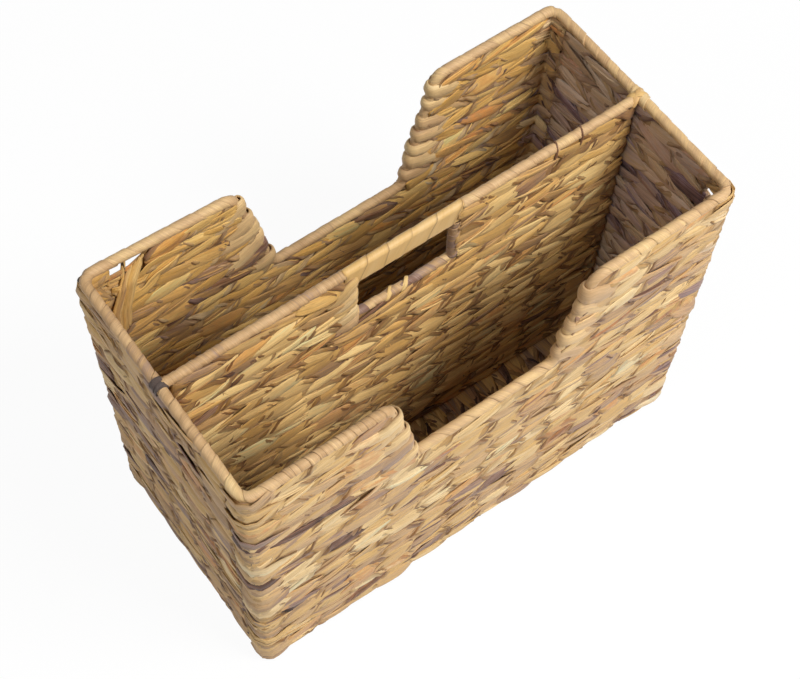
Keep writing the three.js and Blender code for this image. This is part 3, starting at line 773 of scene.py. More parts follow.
# Where one wall's pieces end and the next wall's begin, half a bay behind the corners
bays_on = LONG_WALL_BAYS + END_WALL_BAYS - 1
CUTS = [(bay + 0.5) * math.pi for bay in (LONG_WALL_BAYS, bays_on, bays_on + LONG_WALL_BAYS)]
CUTS = [0.0, *np.interp(CUTS, ring.phase, ring.station), ring.length]
CUTS = [ring.station[np.argmin(np.abs(ring.station - cut))] for cut in CUTS]
# How soon a value has changed past a bend
BLEND_REACH = 3.0


def by_wall(*values):
    """A value along the ring that eases from one wall's level to the next wall's at each bend."""
    out = np.full(len(ring.station), float(values[0]))
    for bend, before, after in zip(bends, values, values[1:]):
        out += (after - before) / (1 + np.exp((bend - ring.station) / BLEND_REACH))
    return out


# From the left end round to it again. The ends are greyer than the long walls. The stems
# under the blades get painted shade, those inside the basket painted golden bounce light,
# and the right end painted bluish shade.
ring.tint = by_wall(-0.1, -0.04, -0.12, -0.02, -0.1)
ring.inner_tint = by_wall(0.0, 0.05, 0.02, 0.05, 0.0)
ring.core = 0.42
ring.painted_bounce_and_shade = by_wall(0.0, 0.0, -0.6, 0.0, 0.0)
ring.inner_painted_bounce_and_shade = by_wall(0.6, 0.9, -1.0, 0.9, 0.6)


def notch_edges(wall, level):
    """Places in x of the two wires of a wall's notch at a height."""
    middle, top_width, foot_width, foot, _ = NOTCHES[wall]
    share = np.clip((level - foot) / (RIM_Z - foot), 0, 1)
    half = (foot_width + (top_width - foot_width) * share) / 2
    return middle - half, middle + half


def wall_levels(wall):
    """Heights of the rows of a long wall: even below its notch, and even beside it."""
    shoulder = NOTCHES[wall][3] - WRAP_RADIUS - 0.5
    under = levels(0, shoulder, LOWER_ROWS[wall])
    under[0] += 1.0
    return under + levels(shoulder, UNDER_RIM, ROWS - LOWER_ROWS[wall])


UNDER_RIM = RIM_Z - WRAP_RADIUS + 1.6
BANDS = {"low": range(0, 8), "middle": range(8, 15), "high": range(15, ROWS)}
WALLS = ["front", "right_end", "back", "left_end"]


def band_of(number):
    """Name of the band of rows that a row belongs to."""
    return next(name for name, rows in BANDS.items() if number in rows)


wall_strands = {(wall, band): Strands() for wall in WALLS for band in BANDS}
# Between these places in x the back wall's top row is left out, left of its notch, and the
# rows below it sag by this much
OPEN_PLACES = (-178.0, -142.0)
OPEN_SAG = [0.0, 9.5, 6.5, 3.5, 1.5] + [0.0] * (ROWS - 5)
SAG_REACH = 22.0
SAG_EASE = 8.0
# The right end's second row from the top is left out between these places in y
OPEN_SLIT = (-86.0, -71.0)

rng = np.random.default_rng(7)
front_levels, back_levels = wall_levels("front"), wall_levels("back")
back_share = np.clip((ring_line[:, 1] + MID_Y) / (2 * MID_Y), 0, 1)
back_tip = notch_edges("back", RIM_Z)[0]
droop_share = np.clip((ring_line[:, 0] + MID_X) / (back_tip + MID_X), 0, 1)
droop_share = droop_share * (ring_line[:, 1] > MID_Y - CORNER_BEND) * (ring_line[:, 0] < 0)
from_open = np.abs(ring_line[:, 0] - sum(OPEN_PLACES) / 2)
open_share = np.clip((SAG_REACH - from_open) / SAG_EASE, 0, 1)
open_share = open_share * (ring_line[:, 1] > MID_Y - CORNER_BEND)
for number, (level, back_level) in enumerate(zip(front_levels, back_levels)):
    band = band_of(number)
    spans = []
    for wall, start, stop in zip(WALLS, CUTS, CUTS[1:]):
        if number == ROWS - 2 and wall == "front":
            stop = on_ring(MID_X, OPEN_SLIT[0])
        if number == ROWS - 2 and wall == "right_end":
            start = on_ring(MID_X, OPEN_SLIT[1])
        if number < LOWER_ROWS.get(wall, ROWS):
            spans.append(((wall, band), start, stop))
            continue
        side = -1 if wall == "front" else 1
        edges = notch_edges(wall, level if wall == "front" else back_level)
        first, second = sorted(on_ring(x, side * MID_Y) for x in edges)
        spans.append(((wall, band), start, first))
        if wall == "back" and number == ROWS - 1:
            spans.append(((wall, band), second, on_ring(OPEN_PLACES[1], MID_Y)))
            second = on_ring(OPEN_PLACES[0], MID_Y)
        spans.append(((wall, band), second, stop))
    raised = np.clip((number - LOWER_ROWS["back"]) / (ROWS - LOWER_ROWS["back"]), 0, 1)
    lift = (back_level - level) * back_share - NOTCHES["back"][4] * droop_share * raised
    lift = lift - OPEN_SAG[ROWS - 1 - number] * open_share
    room = FOOT_ROOM if number == 0 else 1.0
    ring.row(wall_strands, level, 1 if number % 2 else -1, rng, weave_tones, spans, lift=lift,
             room=room, push=swell)


def corner_strap(strands, bend, level, rng, tone, most):
    """A flat stem that turns round a corner on its outer face. most is how far it may reach along
    the walls before and after the corner."""
    before, after = np.minimum(rng.uniform(*STRAP_REACH, 2), most)
    round_bend = np.linspace(-6.5, 6.5, 11)
    at = np.concatenate([np.linspace(-before, -8, 6), round_bend, np.linspace(8, after, 6)])
    u = np.where(at < 0, at / before, at / after)
    place = sampled(ring_fine, bend + at)
    away = unit(looked_up(bend + at, ring.station, ring.outward))
    out = 3.2 + rng.uniform(-0.3, 0.3) + 0.6 * np.exp(-((at / 6.0) ** 2)) - 2.2 * np.abs(u) ** 3
    climb = rng.uniform(-0.1, 0.1) * at + rng.uniform(-0.8, 0.8) * (1 - u**2)
    centre = place + away * out[:, None]
    centre[:, 2] = level + climb
    strands.painted_bounce_and_shade = 0.0
    width = STRAP_WIDTH * rng.uniform(0.7, 1.25) * (1 - 0.6 * np.abs(u) ** 3)
    # Painted shade towards the strap's ends and along its edges
    strands.add(centre, away, width, 1.1, np.clip(tone + 0.05 * u, 0.05, 0.99), 0.0,
                0.2 * np.abs(u) ** 4, 10, rng.uniform(1.5, 2.5), rng.uniform(0, 6) + u, 0.3, 0.7,
                rng.choice([0.05, 0.2, 0.6]))


# How far straps reach along a wall, how wide they are and the tones they take
STRAP_REACH = (13.0, 27.0)
STRAP_WIDTH = 7.6
CORNER_TONES = [0.5, 0.56, 0.6, 0.64, 0.68]
# By corner and row, how far they may reach where the weave is open by a corner
OPEN_STRAPS = {(3, ROWS - 1): (9.0, 27.0)}
OPEN_STRAPS.update({(1, ROWS - k): (27.0, 8.5) for k in (1, 2, 3)})
for corner, bend in enumerate(bends):
    wall = "front" if corner < 2 else "back"
    for number, level in enumerate(front_levels if corner < 2 else back_levels):
        strands = wall_strands[(wall, band_of(number))]
        for half in (-3.0, 3.0):
            tone = rng.choice(CORNER_TONES) + rng.uniform(-0.05, 0.05) - (0.06 if corner else 0)
            corner_strap(strands, bend, level + half + rng.uniform(-1.2, 1.2), rng, tone,
                         OPEN_STRAPS.get((corner, number), STRAP_REACH[1:] * 2))


def loose_stem(strands, points, width, tone, stain, facing, rng, taper=0.4, around=False):
    """A flat stem of its own through a few places. facing is a direction, or, when the stem goes
    around something, a place inside it."""
    # Painted golden bounce light on every loose stem
    strands.painted_bounce_and_shade = 0.6
    path = resampled(rounded_line(points, 3.0, 1.0), 1.6)
    u = np.linspace(-1, 1, len(path))
    facing = path - np.array(facing) if around else np.tile(facing, (len(path), 1)).astype(float)
    # Painted shade towards the stem's ends and along its edges
    strands.add(path, facing, width * (1 - taper * u**8), 1.2 if around else 1.6, tone, stain,
                0.15 * u**4, 10, 1.8, rng.uniform(0, 6) + u, 0.3, 0.8, 0.5)


# Stems that hang under the left part of the back rim, where the top row leaves small openings
HANGING = [
    ((-183, 275.0), (-160, 269.0), (-128, 274.0), 4.0, 0.66, 0.0),
    ((-180, 267.0), (-158, 263.5), (-136, 268.0), 6.0, 0.52, 0.0),
    ((-172, 275.0), (-153, 273.5), (-128, 284.5), 5.4, 0.27, 0.8),
    ((-170, 268.0), (-168, 279.0), (-167, 291.0), 2.6, 0.6, 0.0),
    ((-160, 268.0), (-157, 279.0), (-155, 291.0), 3.4, 0.7, 0.0),
]
for *places, width, tone, stain in HANGING:
    path = [(x, MID_Y - 0.8 + 0.6 * k, z) for k, (x, z) in enumerate(places)]
    loose_stem(wall_strands[("back", "high")], path, width, tone, stain, (0, -1, 0), rng)
# A bundle of stems that hangs in the back left corner
for k, tone in enumerate((0.66, 0.4, 0.74, 0.5, 0.62, 0.7)):
    x, y = 2.0 * k, MID_Y - 6.0 - 0.5 * (k % 2)
    path = [(1.6 * x - 158, MID_Y - 0.5, 272.0 + 2.0 * k), (x - 164, y + 1, 261.0 + k),
            (x - 172 + rng.uniform(-1.2, 1.2), y, 241.0), (0.9 * x - 174, y + 1.0, 215.0),
            (0.8 * x - 172, y + 5.0, 192.0 + 5 * k)]
    loose_stem(wall_strands[("back", "high")], path, rng.uniform(3.6, 5.2), tone, 0.0,
               (-0.2, -1, 0), rng, 0.85)

for (wall, band), strands in wall_strands.items():
    finished(strands, f"{wall}_stems_{band}", "woven_stem", f"{wall}_weave")

# The divider: rows along X, open at the hand hole
divider_line = resampled(
    np.array([[DIVIDER_LOW[0] + 1.0, 0, 0], [DIVIDER_HIGH[0] - 1.0, 0, 0]]), STEM_STEP
)
ahead = np.tile([0.0, -1.0, 0.0], (len(divider_line), 1))
divider_stakes = [x - divider_line[0, 0] for x in LONG_STAKES]
divider = Wall(divider_line, ahead, UP, divider_stakes)
# Painted shade on the stems under the blades, and painted golden bounce light on both faces of the
# divider
divider.core = 0.7
divider.blade_height = 14.4
divider.painted_bounce_and_shade = divider.inner_painted_bounce_and_shade = np.full(len(divider_line), 0.62)
divider.tint = 0.04
UNDER_SILL = SILL_Z - WRAP_RADIUS + 2.0
DIVIDER_LOWER = 18
DIVIDER_UPPER = 5
DIVIDER_BAND = 8
divider_levels = levels(DIVIDER_LOW[2], UNDER_SILL, DIVIDER_LOWER)
divider_levels += levels(UNDER_SILL, UNDER_RIM, DIVIDER_UPPER)
divider_strands = {"low": Strands(), "middle": Strands(), "high": Strands()}
for number, level in enumerate(divider_levels):
    band = list(divider_strands)[number // DIVIDER_BAND]
    if number < DIVIDER_LOWER:
        spans = [(band, 0.0, divider.length)]
    else:
        spans = [
            (band, 0.0, WINDOW_LEFT - divider_line[0, 0]),
            (band, WINDOW_RIGHT - divider_line[0, 0], divider.length),
        ]
    divider.row(divider_strands, level, 1 if number % 2 else -1, rng, weave_tones, spans)

# The base: rows that run from front to back
base_line = resampled(np.array([[0, BASE_LOW[1], 0], [0, BASE_HIGH[1], 0]]), STEM_STEP)
base_line[:, 2] = (BASE_LOW[2] + BASE_HIGH[2]) / 2
below = np.tile([0.0, 0.0, -1.0], (len(base_line), 1))
base_stakes = [y - BASE_LOW[1] for y in END_STAKES]
base_wall = Wall(base_line, below, np.array([1.0, 0, 0]), base_stakes)
BASE_ROWS = 45
BASE_ROOM = 0.8
base_wall.fullness = 1.5
# Painted shade: the base's stems are darker in tone and under the blades, standing for the shade
# deep in the basket; they also get painted golden bounce light
base_wall.tint = -0.22
base_wall.painted_bounce_and_shade = base_wall.inner_painted_bounce_and_shade = np.full(len(base_line), 0.6)
base_wall.core = 0.6
base_strands = {"left": Strands(), "right": Strands()}
for k, level in enumerate(levels(BASE_LOW[0], BASE_HIGH[0], BASE_ROWS)):
    spans = [("left" if level < 0 else "right", 0.0, base_wall.length)]
    base_wall.row(base_strands, level, 1 if k % 2 else -1, rng, weave_tones, spans,
                  room=BASE_ROOM, blades=(-1,))
for half, strands in base_strands.items():
    finished(strands, f"base_stems_{half}", "woven_stem", "base_weave")

# Wound rims


def circle(radius):
    """Round outline that a strip is wound round, its radius given or a function of the place."""

    def outline(turn, at):
        angle = turn * 2 * math.pi
        direction = np.stack([np.cos(angle), np.sin(angle)], 1)
        size = radius(at) if callable(radius) else np.full(len(at), radius)
        return direction * size[:, None], direction

    return outline


def stadium(radius, low, high):
    """A flat outline with round ends, between two heights measured from the line."""
    run = high - low
    arc = math.pi * radius

    def outline(turn, at):
        place = (turn % 1.0) * 2 * (run + arc)
        angle = np.zeros(len(place))
        height = np.full(len(place), float(high))
        rising = place < run
        height[rising] = low + place[rising]
        top = (place >= run) & (place < run + arc)
        angle[top] = (place[top] - run) / radius
        falling = (place >= run + arc) & (place < 2 * run + arc)
        angle[falling] = math.pi
        height[falling] = high - (place[falling] - run - arc)
        bottom = place >= 2 * run + arc
        angle[bottom] = math.pi + (place[bottom] - 2 * run - arc) / radius
        height[bottom] = low
        direction = np.stack([np.cos(angle), np.sin(angle)], 1)
        return direction * radius + np.stack([np.zeros(len(place)), height], 1), direction

    return outline


def turn_marks(start, stop, pitch, uneven, rng):
    """Lengths along a line between which the turns of a wrap run."""
    turns = max(1, int(round((stop - start) / pitch)))
    steps = np.cumsum(np.concatenate([[0], 1 + uneven * rng.uniform(-1, 1, turns)]))
    return start + (stop - start) * steps / steps[-1]


def wound(line, side, marks, outline, rng, tone, spread=0.08, ends=None, thickness=0.7, lap=1.25,
          lump=0.14, sway=0.5, steps=WIND_STEPS, seam=0.35, more=0.6, hand=1):
    """Rings of a flat strip that lies on an outline round a line, each turn lapping the next:
    turn, points, length, reach across, tone and shade of each ring. tone may be a function of
    the place. ends are where the wrap is cut square, and more is how many turns the strip runs on
    past the first and last mark. hand is 1 or -1, the way the strip turns."""
    turns = len(marks) - 1
    turn = np.linspace(-more, turns + more, int((turns + 2 * more) * steps) + 1)
    first, last = marks[1] - marks[0], marks[-1] - marks[-2]
    places = [marks[0] - 2 * first, marks[0] - first, *marks,
              marks[-1] + last, marks[-1] + 2 * last]
    knots = np.arange(-2, turns + 3)
    at = np.interp(turn, knots, places)
    ahead = np.interp(turn + 1, knots, places) - at
    behind = at - np.interp(turn - 1, knots, places)
    half = lap / 2 * np.maximum(ahead, behind)
    angle = np.arange(WIND_SIDES) / WIND_SIDES * 2 * math.pi
    x = np.sign(np.cos(angle)) * np.abs(np.cos(angle)) ** 0.6
    y = np.sign(np.sin(angle)) * np.abs(np.sin(angle)) ** 0.6
    length = (turn - turn[0]) * TURN_LENGTH
    total = length[-1]
    slide = sway * wander(length, total, 9.0, rng)
    axial = (at + slide)[:, None] + x[None, :] * half[:, None]
    if ends:
        axial = np.clip(axial, ends[0] + 0.03 * (1 + x), ends[1] - 0.03 * (1 - x))
    offset, direction = outline(hand * (turn + rng.uniform(0, 1)), at)
    ridge = 0.12 * np.cos(x[None, :] * 5 + 2 * wander(length, total, 30.0, rng)[:, None])
    height = thickness * (y / 2 + 0.55 * x)[None, :] + ridge * (y > 0)
    height = height + lump * wander(length, total, 10.0, rng)[:, None]
    along = stations(line)
    points = looked_up(axial, along, line)
    for k in range(2):
        out = offset[:, k:k + 1] + direction[:, k:k + 1] * height
        points = points + looked_up(axial, along, side[k]) * out[:, :, None]
    knots = np.arange(turns + 1)
    tones = tone(at) if callable(tone) else tone
    tones = tones + 0.6 * spread * wander(length, total, 55.0, rng)
    tones = tones + spread * np.interp(turn, knots, rng.uniform(-1, 1, turns + 1))
    # Painted shade along the top edge of some turns, standing for the thin shadow where a turn
    # laps the one before
    seams = np.clip(seam + 0.65 * np.interp(turn, knots, rng.uniform(-1, 1, turns + 1)), 0, 1)
    shade = np.clip(x, 0, 1)[None, :] ** 10 * seams[:, None]
    reach = x[None, :] * half[:, None]
    return (turn, points[:, ::hand], length, reach[:, ::hand], np.clip(tones, 0.02, 0.98),
            shade[:, ::hand])


def keep_turns(strands, strip, first, last, stain=0.0):
    """Adds the rings of a wound strip between two turns."""
    turn, points, length, reach, tone, shade = strip
    part = (turn >= first - 1e-6) & (turn <= last + 1e-6)
    strands.keep(points[part], length[part], reach[part], tone[part],
                 np.full(part.sum(), stain), shade[part])


def rim_corners(wall):
    """Corners of the rim wire over one long wall, in (x, z) from left to right."""
    foot, droop = NOTCHES[wall][3:]
    left_tip, right_tip = notch_edges(wall, RIM_Z)
    left_foot, right_foot = notch_edges(wall, foot)
    return [(-MID_X, RIM_Z), (left_tip, RIM_Z - droop), (left_foot, foot), (right_foot, foot),
            (right_tip, RIM_Z), (MID_X, RIM_Z)]


hoop_corners = [(-MID_X, 0, RIM_Z)]
hoop_corners += [(x, MID_Y, z) for x, z in rim_corners("back")]
hoop_corners += [(x, -MID_Y, z) for x, z in rim_corners("front")[::-1]]
hoop_corners += [(-MID_X, 0, RIM_Z)]
hoop = rounded_line(hoop_corners, HOOP_BEND, 1.0)
hoop_sides = transported(hoop, (-1.0, 0, 0))


def sloped(a, b, reach, y):
    """Place a reach along a notch's sloping side from one of its corners to the other."""
    a, b = np.array([a[0], y, a[1]]), np.array([b[0], y, b[1]])
    return a + unit(b - a) * reach


def wall_stops(corners, y):
    """Where the wraps stop along one long wall, from left to right."""
    left_tip, left_foot, right_foot, right_tip = corners[1:-1]
    return [
        (-MID_X + CORNER_REACH, y, RIM_Z),
        sloped(left_tip, left_foot, TIP_REACH, y),
        sloped(left_foot, left_tip, FOOT_REACH, y),
        sloped(right_foot, right_tip, FOOT_REACH, y),
        sloped(right_tip, right_foot, TIP_REACH, y),
        (MID_X - CORNER_REACH, y, RIM_Z),
    ]


stops = [(-MID_X, TIE_WIDTH / 2, RIM_Z), (-MID_X, MID_Y - CORNER_REACH, RIM_Z)]
stops += wall_stops(rim_corners("back"), MID_Y)
stops += [(MID_X, MID_Y - CORNER_REACH, RIM_Z), (MID_X, TIE_WIDTH / 2, RIM_Z)]
stops += [(MID_X, -TIE_WIDTH / 2, RIM_Z), (MID_X, CORNER_REACH - MID_Y, RIM_Z)]
stops += wall_stops(rim_corners("front"), -MID_Y)[::-1]
stops += [(-MID_X, CORNER_REACH - MID_Y, RIM_Z), (-MID_X, -TIE_WIDTH / 2, RIM_Z)]
hoop_stops = [station_near(hoop, stop) for stop in stops]

# Name, pitch of the turns, tone, unevenness and added radius of each rim wrap
RIM_WRAPS = [
    ("left_rim_wrap_rear", 12.0, 0.52, 0.3, 0.0),
    ("corner_wrap_back_left", 15.0, 0.56, 0.2, 0.1),
    ("back_rim_wrap_left", 17.0, 0.72, 0.3, 0.1),
    ("back_notch_wrap_left", 12.0, 0.6, 0.2, 0.0),
    ("back_notch_wrap_foot", 11.0, 0.62, 0.4, 0.0),
    ("back_notch_wrap_right", 12.0, 0.6, 0.2, 0.0),
    ("back_rim_wrap_right", 16.0, 0.72, 0.35, 0.1),
    ("corner_wrap_back_right", 12.0, 0.66, 0.2, 0.1),
    ("right_rim_wrap_rear", 12.0, 0.6, 0.4, -0.1),
    ("right_junction_tie", 5.0, 0.78, 0.2, 0.0),
    ("right_rim_wrap_fore", 14.0, 0.62, 0.4, -0.1),
    ("corner_wrap_front_right", 13.0, 0.7, 0.2, 0.1),
    ("front_rim_wrap_right", 13.0, 0.7, 0.4, 0.0),
    ("front_notch_wrap_right", 12.0, 0.66, 0.2, 0.0),
    ("front_notch_wrap_foot", 18.0, 0.72, 0.35, 0.0),
    ("front_notch_wrap_left", 12.0, 0.6, 0.2, 0.0),
    ("front_rim_wrap_left", 5.5, 0.54, 0.5, -0.1),
    ("corner_wrap_front_left", 12.0, 0.68, 0.25, 0.1),
    ("left_rim_wrap_fore", 10.0, 0.53, 0.3, 0.0),
]
RIM_RADIUS = 3.2
# How much the knot where the divider meets the right end stands out, and how far it reaches
KNOT_SWELL = 1.1
KNOT_REACH = 6.0
rim_marks, rim_turns = [np.array([hoop_stops[0]])], [0]
for (_, pitch, _, uneven, _), start, stop in zip(RIM_WRAPS, hoop_stops, hoop_stops[1:]):
    marks = turn_marks(start, stop, pitch, uneven, rng)
    rim_marks.append(marks[1:])
    rim_turns.append(rim_turns[-1] + len(marks) - 1)
rim_middles = [(a + b) / 2 for a, b in zip(hoop_stops, hoop_stops[1:])]


def rim_radius(at):
    """Radius of the rim's wraps at each place on the hoop."""
    knot = rim_middles[[wrap[0] for wrap in RIM_WRAPS].index("right_junction_tie")]
    added = np.interp(at, rim_middles, [wrap[4] for wrap in RIM_WRAPS])
    return RIM_RADIUS + added + KNOT_SWELL * np.exp(-(((at - knot) / KNOT_REACH) ** 2))


def rim_tone(at):
    """Tone of the rim's wraps at each place on the hoop."""
    return np.interp(at, rim_middles, [wrap[2] for wrap in RIM_WRAPS])


rim_strip = wound(hoop, hoop_sides, np.concatenate(rim_marks), circle(rim_radius), rng, rim_tone,
                  spread=0.12, lap=1.35)
# Under the dark tie both ends of the rim's strip run on, so that the wire is covered
rim_turns[0], rim_turns[-1] = -1, rim_turns[-1] + 1
rim_strands = {}
for (name, *_), first, last in zip(RIM_WRAPS, rim_turns, rim_turns[1:]):
    rim_strands[name] = Strands()
    keep_turns(rim_strands[name], rim_strip, first, last)

# Stems that turn back round the wires at the sides of the notches and of the hand hole
LOOP_RADIUS = 4.5


def edge_loops(strands, wire, inward, outward, low, high, pitch, rng, tones, spread=0.1,
               reach=24.0):
    """Loops of flat stem round an edge. wire(z) is the place of its wire, inward points along
    the wall away from the edge and outward to the wall's outer face."""
    count = int(round((high - low) / pitch))
    strands.painted_bounce_and_shade = 0.0
    for k in rng.permutation(count):
        z = low + (k + 0.5) * (high - low) / count + rng.uniform(-2.5, 2.5)
        radius = LOOP_RADIUS + rng.uniform(-0.9, 1.0)
        first, last = reach * rng.uniform(0.7, 1.2), reach * rng.uniform(0.7, 1.2)
        turn = np.linspace(math.pi / 2, 3 * math.pi / 2, 11)
        bent = np.stack([radius * np.cos(turn), radius * np.sin(turn)], 1)
        far = [[first, 2.2], [first * 0.7, 3.7], [first * 0.35, radius]]
        back = [[last * 0.35, -radius], [last * 0.7, -3.7], [last, -2.2]]
        flat = [*far, [3.5, radius], *bent, [3.5, -radius], *back]
        path = resampled(np.array([[a, b, 0.0] for a, b in flat]), 1.6)
        share = np.linspace(-1, 1, len(path))
        climb, fall = rng.uniform(0.25, 0.9, 2)
        rise = z - np.where(share < 0, climb, fall) * np.maximum(path[:, 0], 0)
        centre = np.array([wire(z)] * len(path)) + inward * path[:, :1] + outward * path[:, 1:2]
        centre[:, 2] = rise
        way = np.gradient(path[:, :2], axis=0)
        facing = inward * way[:, 1:] - outward * way[:, :1]
        from_wire = inward * path[:, :1] + outward * path[:, 1:2]
        facing = facing * np.sign(np.sum(facing * from_wire, 1).mean())
        width = pitch * rng.uniform(0.95, 1.35) * (1 - 0.5 * share**4)
        tone = tones[k % len(tones)] + rng.uniform(-spread, spread) / 2
        tone = np.clip(tone + 0.06 * wander(share + 1, 2, 1.0, rng), 0.03, 0.99)
        # Painted shade towards the loop's ends and along its edges
        strands.add(centre, facing, width, 2.1, tone, 0.0, 0.2 * share**8, 12,
                    rng.uniform(1.2, 2.2), rng.uniform(0, 6) + share, 0.13 * width, 0.7,
                    rng.choice([0.4, 0.7, 1.0]))


# Wrap whose stems it is, wall, side of the notch, pitch and tones of its loops
LOOPS = [
    ("front_notch_wrap_left", "front", 0, 15.0, [0.74, 0.36, 0.7, 0.76, 0.8]),
    ("front_notch_wrap_right", "front", 1, 14.0, [0.58, 0.66, 0.7, 0.78]),
    ("back_notch_wrap_left", "back", 0, 16.0, [0.74, 0.2, 0.78, 0.7, 0.76]),
    ("back_notch_wrap_right", "back", 1, 13.0, [0.6, 0.74, 0.8, 0.7]),
]
for name, wall, side, pitch, tones in LOOPS:
    y = -MID_Y if wall == "front" else MID_Y
    inward = np.array([-1.0 if side == 0 else 1.0, 0, 0])
    outward = np.array([0, math.copysign(1.0, y), 0])
    low = NOTCHES[wall][3] + 5.0
    high = RIM_Z - 7.0 - (NOTCHES[wall][4] if side == 0 else 0)
    edge_loops(rim_strands[name], lambda z: (notch_edges(wall, z)[side], y, z), inward, outward,
               low, high, pitch, rng, tones)
# The knot where the divider meets the right end: two pale stems that cross over the joint
for side, tone in ((-1, 0.72), (1, 0.84)):
    path = [(MID_X - 9, 3.4 * side, RIM_Z - 2.0), (MID_X - 7, 2.6 * side, RIM_Z + 2.8),
            (MID_X - 1.5, -0.5 * side, RIM_Z + 4.9), (MID_X + 3.4, -3.6 * side, RIM_Z + 3.0),
            (MID_X + 4.4, -5.2 * side, RIM_Z - 2.5)]
    loose_stem(rim_strands["right_junction_tie"], path, 4.6, tone, 0.0,
               (MID_X - 3, 0, RIM_Z - 3), rng, around=True)
for name, strands in rim_strands.items():
    finished(strands, name + "_strip", "wrapped_stem", name)


def straight_wrap(name, start, stop, outline, pitch, tone, slot="wrapped_stem", first=(0, 1, 0),
                  uneven=0.3, **more):
    """A wrap round a straight line, which stands for the CAD node of that name."""
    line = resampled(np.array([start, stop], float), 1.0)
    length = stations(line)[-1]
    marks = turn_marks(0.0, length, pitch, uneven, rng)
    strip = wound(line, transported(line, first), marks, outline, rng, tone, ends=(0.0, length),
                  **more)
    strands = Strands()
    keep_turns(strands, strip, -1, len(marks))
    finished(strands, name + "_strip", slot, name)


tie_half = TIE_WIDTH / 2 - 1
straight_wrap("left_junction_tie", (-MID_X, tie_half, RIM_Z), (-MID_X, -tie_half, RIM_Z),
              circle(RIM_RADIUS + 1.0), 4.0, 0.3, "dark_stem", (0, 0, 1))
# The divider's rim ends inside the hoop's wraps
rim_end = MID_X - 2.2
straight_wrap("divider_rim_wrap_left", (-rim_end, 0, RIM_Z), (GRIP_LEFT + 1, 0, RIM_Z),
              circle(RIM_RADIUS - 0.1), 5.5, 0.5, uneven=0.5)
straight_wrap("divider_rim_wrap_right", (GRIP_RIGHT - 1, 0, RIM_Z), (rim_end, 0, RIM_Z),
              circle(RIM_RADIUS - 0.1), 11.0, 0.64, uneven=0.5)
straight_wrap("hole_sill_wrap", (HOLE_LEFT - 3, 0, SILL_Z), (GRIP_RIGHT, 0, SILL_Z),
              circle(RIM_RADIUS - 0.6), 8.0, 0.56, uneven=0.6, spread=0.3, lump=0.45)

# The weave's own stems turn back round the hand hole's left wire
edge_loops(divider_strands["high"], lambda z: (WINDOW_LEFT + 1.0, 0.0, z),
           np.array([-1.0, 0, 0]), np.array([0, -1.0, 0]), SILL_Z - 5.0, HOLE_TOP + 8.0, 11.0, rng,
           [0.56, 0.8, 0.62, 0.72], 0.16, 16.0)
# A few pale ends of stem over the hole's sill, and two threads over the divider's rim
for x in (-44.0, -18.0, -5.0):
    path = [(x - 4.5 + 1.5 * k, -3.1 * math.sin(angle), SILL_Z + 3.1 * math.cos(angle))
            for k, angle in enumerate(np.radians([130, 100, 70, 40, 10, -20, -50]))]
    loose_stem(divider_strands["high"], path, 3.6, 0.86, 0.0, (x, 0, SILL_Z), rng, around=True)
for x in (113.0, 134.0):
    path = [(x - 2, -4.6, RIM_Z - 6), (x, -4.0, RIM_Z), (x + 1, -1.0, RIM_Z + 4.1),
            (x + 3, 3.6, RIM_Z + 1.5)]
    loose_stem(divider_strands["high"], path, 1.6, 0.12, 0.0, (0, -1, 0.6), rng)
for band, strands in divider_strands.items():
    finished(strands, f"divider_stems_{band}", "woven_stem", "divider_weave")

side_foot = (WINDOW_RIGHT, 0, SIDE_LOW[2] - 3)
straight_wrap("hole_side_wrap", side_foot, (WINDOW_RIGHT, 0, SIDE_HIGH[2] + 3),
              circle(RIM_RADIUS + 0.3), 9.0, 0.38)
GRIP_HALF = 2.9
grip_run = TOP_Z - HOLE_TOP - 2 * GRIP_HALF - 1.2
grip_middle = (TOP_Z + HOLE_TOP) / 2
# The grip's turns carry strong painted shade along their lapping edges
straight_wrap("handle_wrap", (GRIP_LEFT, 0, grip_middle), (GRIP_RIGHT, 0, grip_middle),
              stadium(GRIP_HALF, -grip_run / 2, grip_run / 2), 17.0, 0.68, "grip_stem",
              thickness=0.42, lap=1.12, lump=0.05, sway=0.8, spread=0.08, steps=60, seam=0.8,
              hand=-1)


# Camera, floor and light

CAMERA_PLACE = (-0.33664, -0.41377, 1.13392)
CAMERA_FORWARD = (0.29829, 0.37274, -0.87869)
CAMERA_UP = (0.50644, 0.71851, 0.47672)
CAMERA_LENS = 71.684
SENSOR_WIDTH = 36.0

FLOOR_Z = -0.0008
FLOOR_REACH = 6.0
FLOOR_WHITE = 0.95
WORLD_FILL = 0.12


def make_camera():
    """The camera at the photograph's viewing angle."""
    data = bpy.data.cameras.new("camera")
    data.lens = CAMERA_LENS
    data.sensor_width = SENSOR_WIDTH
    data.sensor_fit = "HORIZONTAL"
    data.clip_start = 0.05
    data.clip_end = 50
    camera = bpy.data.objects.new("camera", data)
    forward = Vector(CAMERA_FORWARD).normalized()
    right = forward.cross(Vector(CAMERA_UP)).normalized()
    up = right.cross(forward)
    turn = Matrix((right, up, -forward)).transposed().to_4x4()
    camera.matrix_world = Matrix.Translation(CAMERA_PLACE) @ turn
    bpy.context.scene.collection.objects.link(camera)
    bpy.context.scene.camera = camera


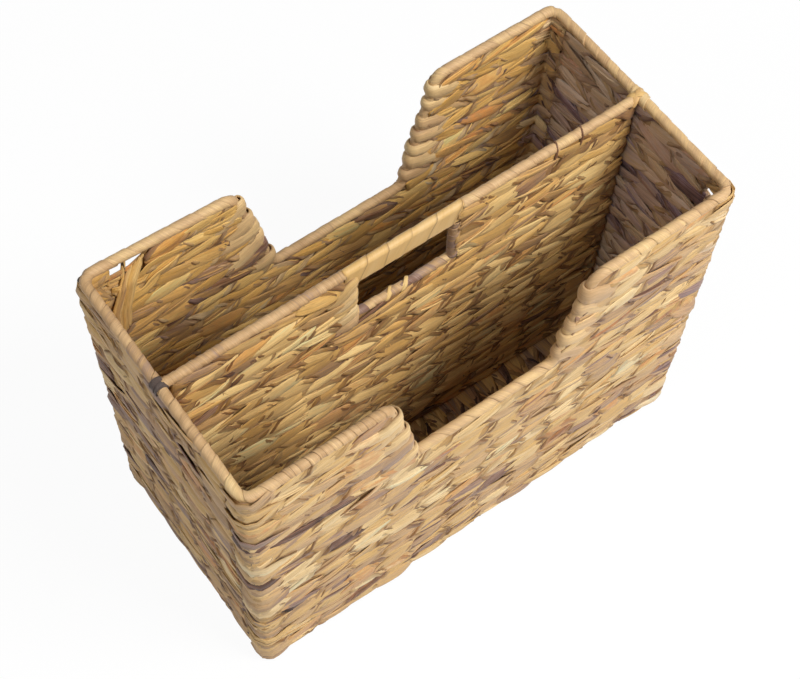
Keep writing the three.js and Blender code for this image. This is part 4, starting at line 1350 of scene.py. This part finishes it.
def seen_share(n):
    """One for rays from the camera and through gloss or glass, and zero for the rest."""
    path = n.add("LightPath").outputs
    total = path["Is Camera Ray"]
    for name in ("Is Glossy Ray", "Is Transmission Ray"):
        total = n.math("ADD", total, path[name], clamp=True)
    return total


def make_floor():
    """A plain pale floor, near white where it is seen, that keeps the basket's shadow."""
    n = Nodes(bpy.data.materials.new("floor"), "OutputMaterial")
    pale = n.add("BsdfPrincipled", {"Base Color": (0.9, 0.9, 0.9, 1), "Roughness": 0.9})
    white = n.add("Emission")
    share = n.math("MULTIPLY", seen_share(n), FLOOR_WHITE)
    floor_material = n.finish(
        n.add("MixShader", {0: share, 1: pale.outputs[0], 2: white.outputs[0]})
    )
    mesh = bpy.data.meshes.new("floor")
    corners = [(-1, -1), (1, -1), (1, 1), (-1, 1)]
    places = [(x * FLOOR_REACH, y * FLOOR_REACH, FLOOR_Z) for x, y in corners]
    mesh.from_pydata(places, [], [(0, 1, 2, 3)])
    mesh.materials.append(floor_material)
    floor = bpy.data.objects.new("floor", mesh)
    bpy.context.scene.collection.objects.link(floor)


def make_light(name, place, target, size, power):
    """A soft square lamp that faces a target."""
    data = bpy.data.lights.new(name, "AREA")
    data.shape = "SQUARE"
    data.size = size
    data.energy = power
    lamp = bpy.data.objects.new(name, data)
    lamp.location = place
    lamp.rotation_mode = "QUATERNION"
    lamp.rotation_quaternion = (Vector(target) - Vector(place)).to_track_quat("-Z", "Y")
    bpy.context.scene.collection.objects.link(lamp)


def make_world():
    """White where it is seen, a modest even fill for the rest."""
    world = bpy.data.worlds.new("world")
    bpy.context.scene.world = world
    n = Nodes(world, "OutputWorld")
    fill = n.add("Background", {"Color": (0.95, 0.97, 1.0, 1), "Strength": WORLD_FILL})
    white = n.add("Background", {"Color": (1, 1, 1, 1), "Strength": 1.0})
    n.finish(n.add("MixShader", {0: seen_share(n), 1: fill.outputs[0], 2: white.outputs[0]}))


make_camera()
make_floor()
make_world()
make_light("key", (0.7, -1.15, 1.95), (0, 0, 0.15), 0.9, 56)
make_light("side", (-1.3, -0.3, 1.9), (0, 0, 0.2), 1.0, 12)
bpy.context.scene.view_settings.view_transform = "Standard"
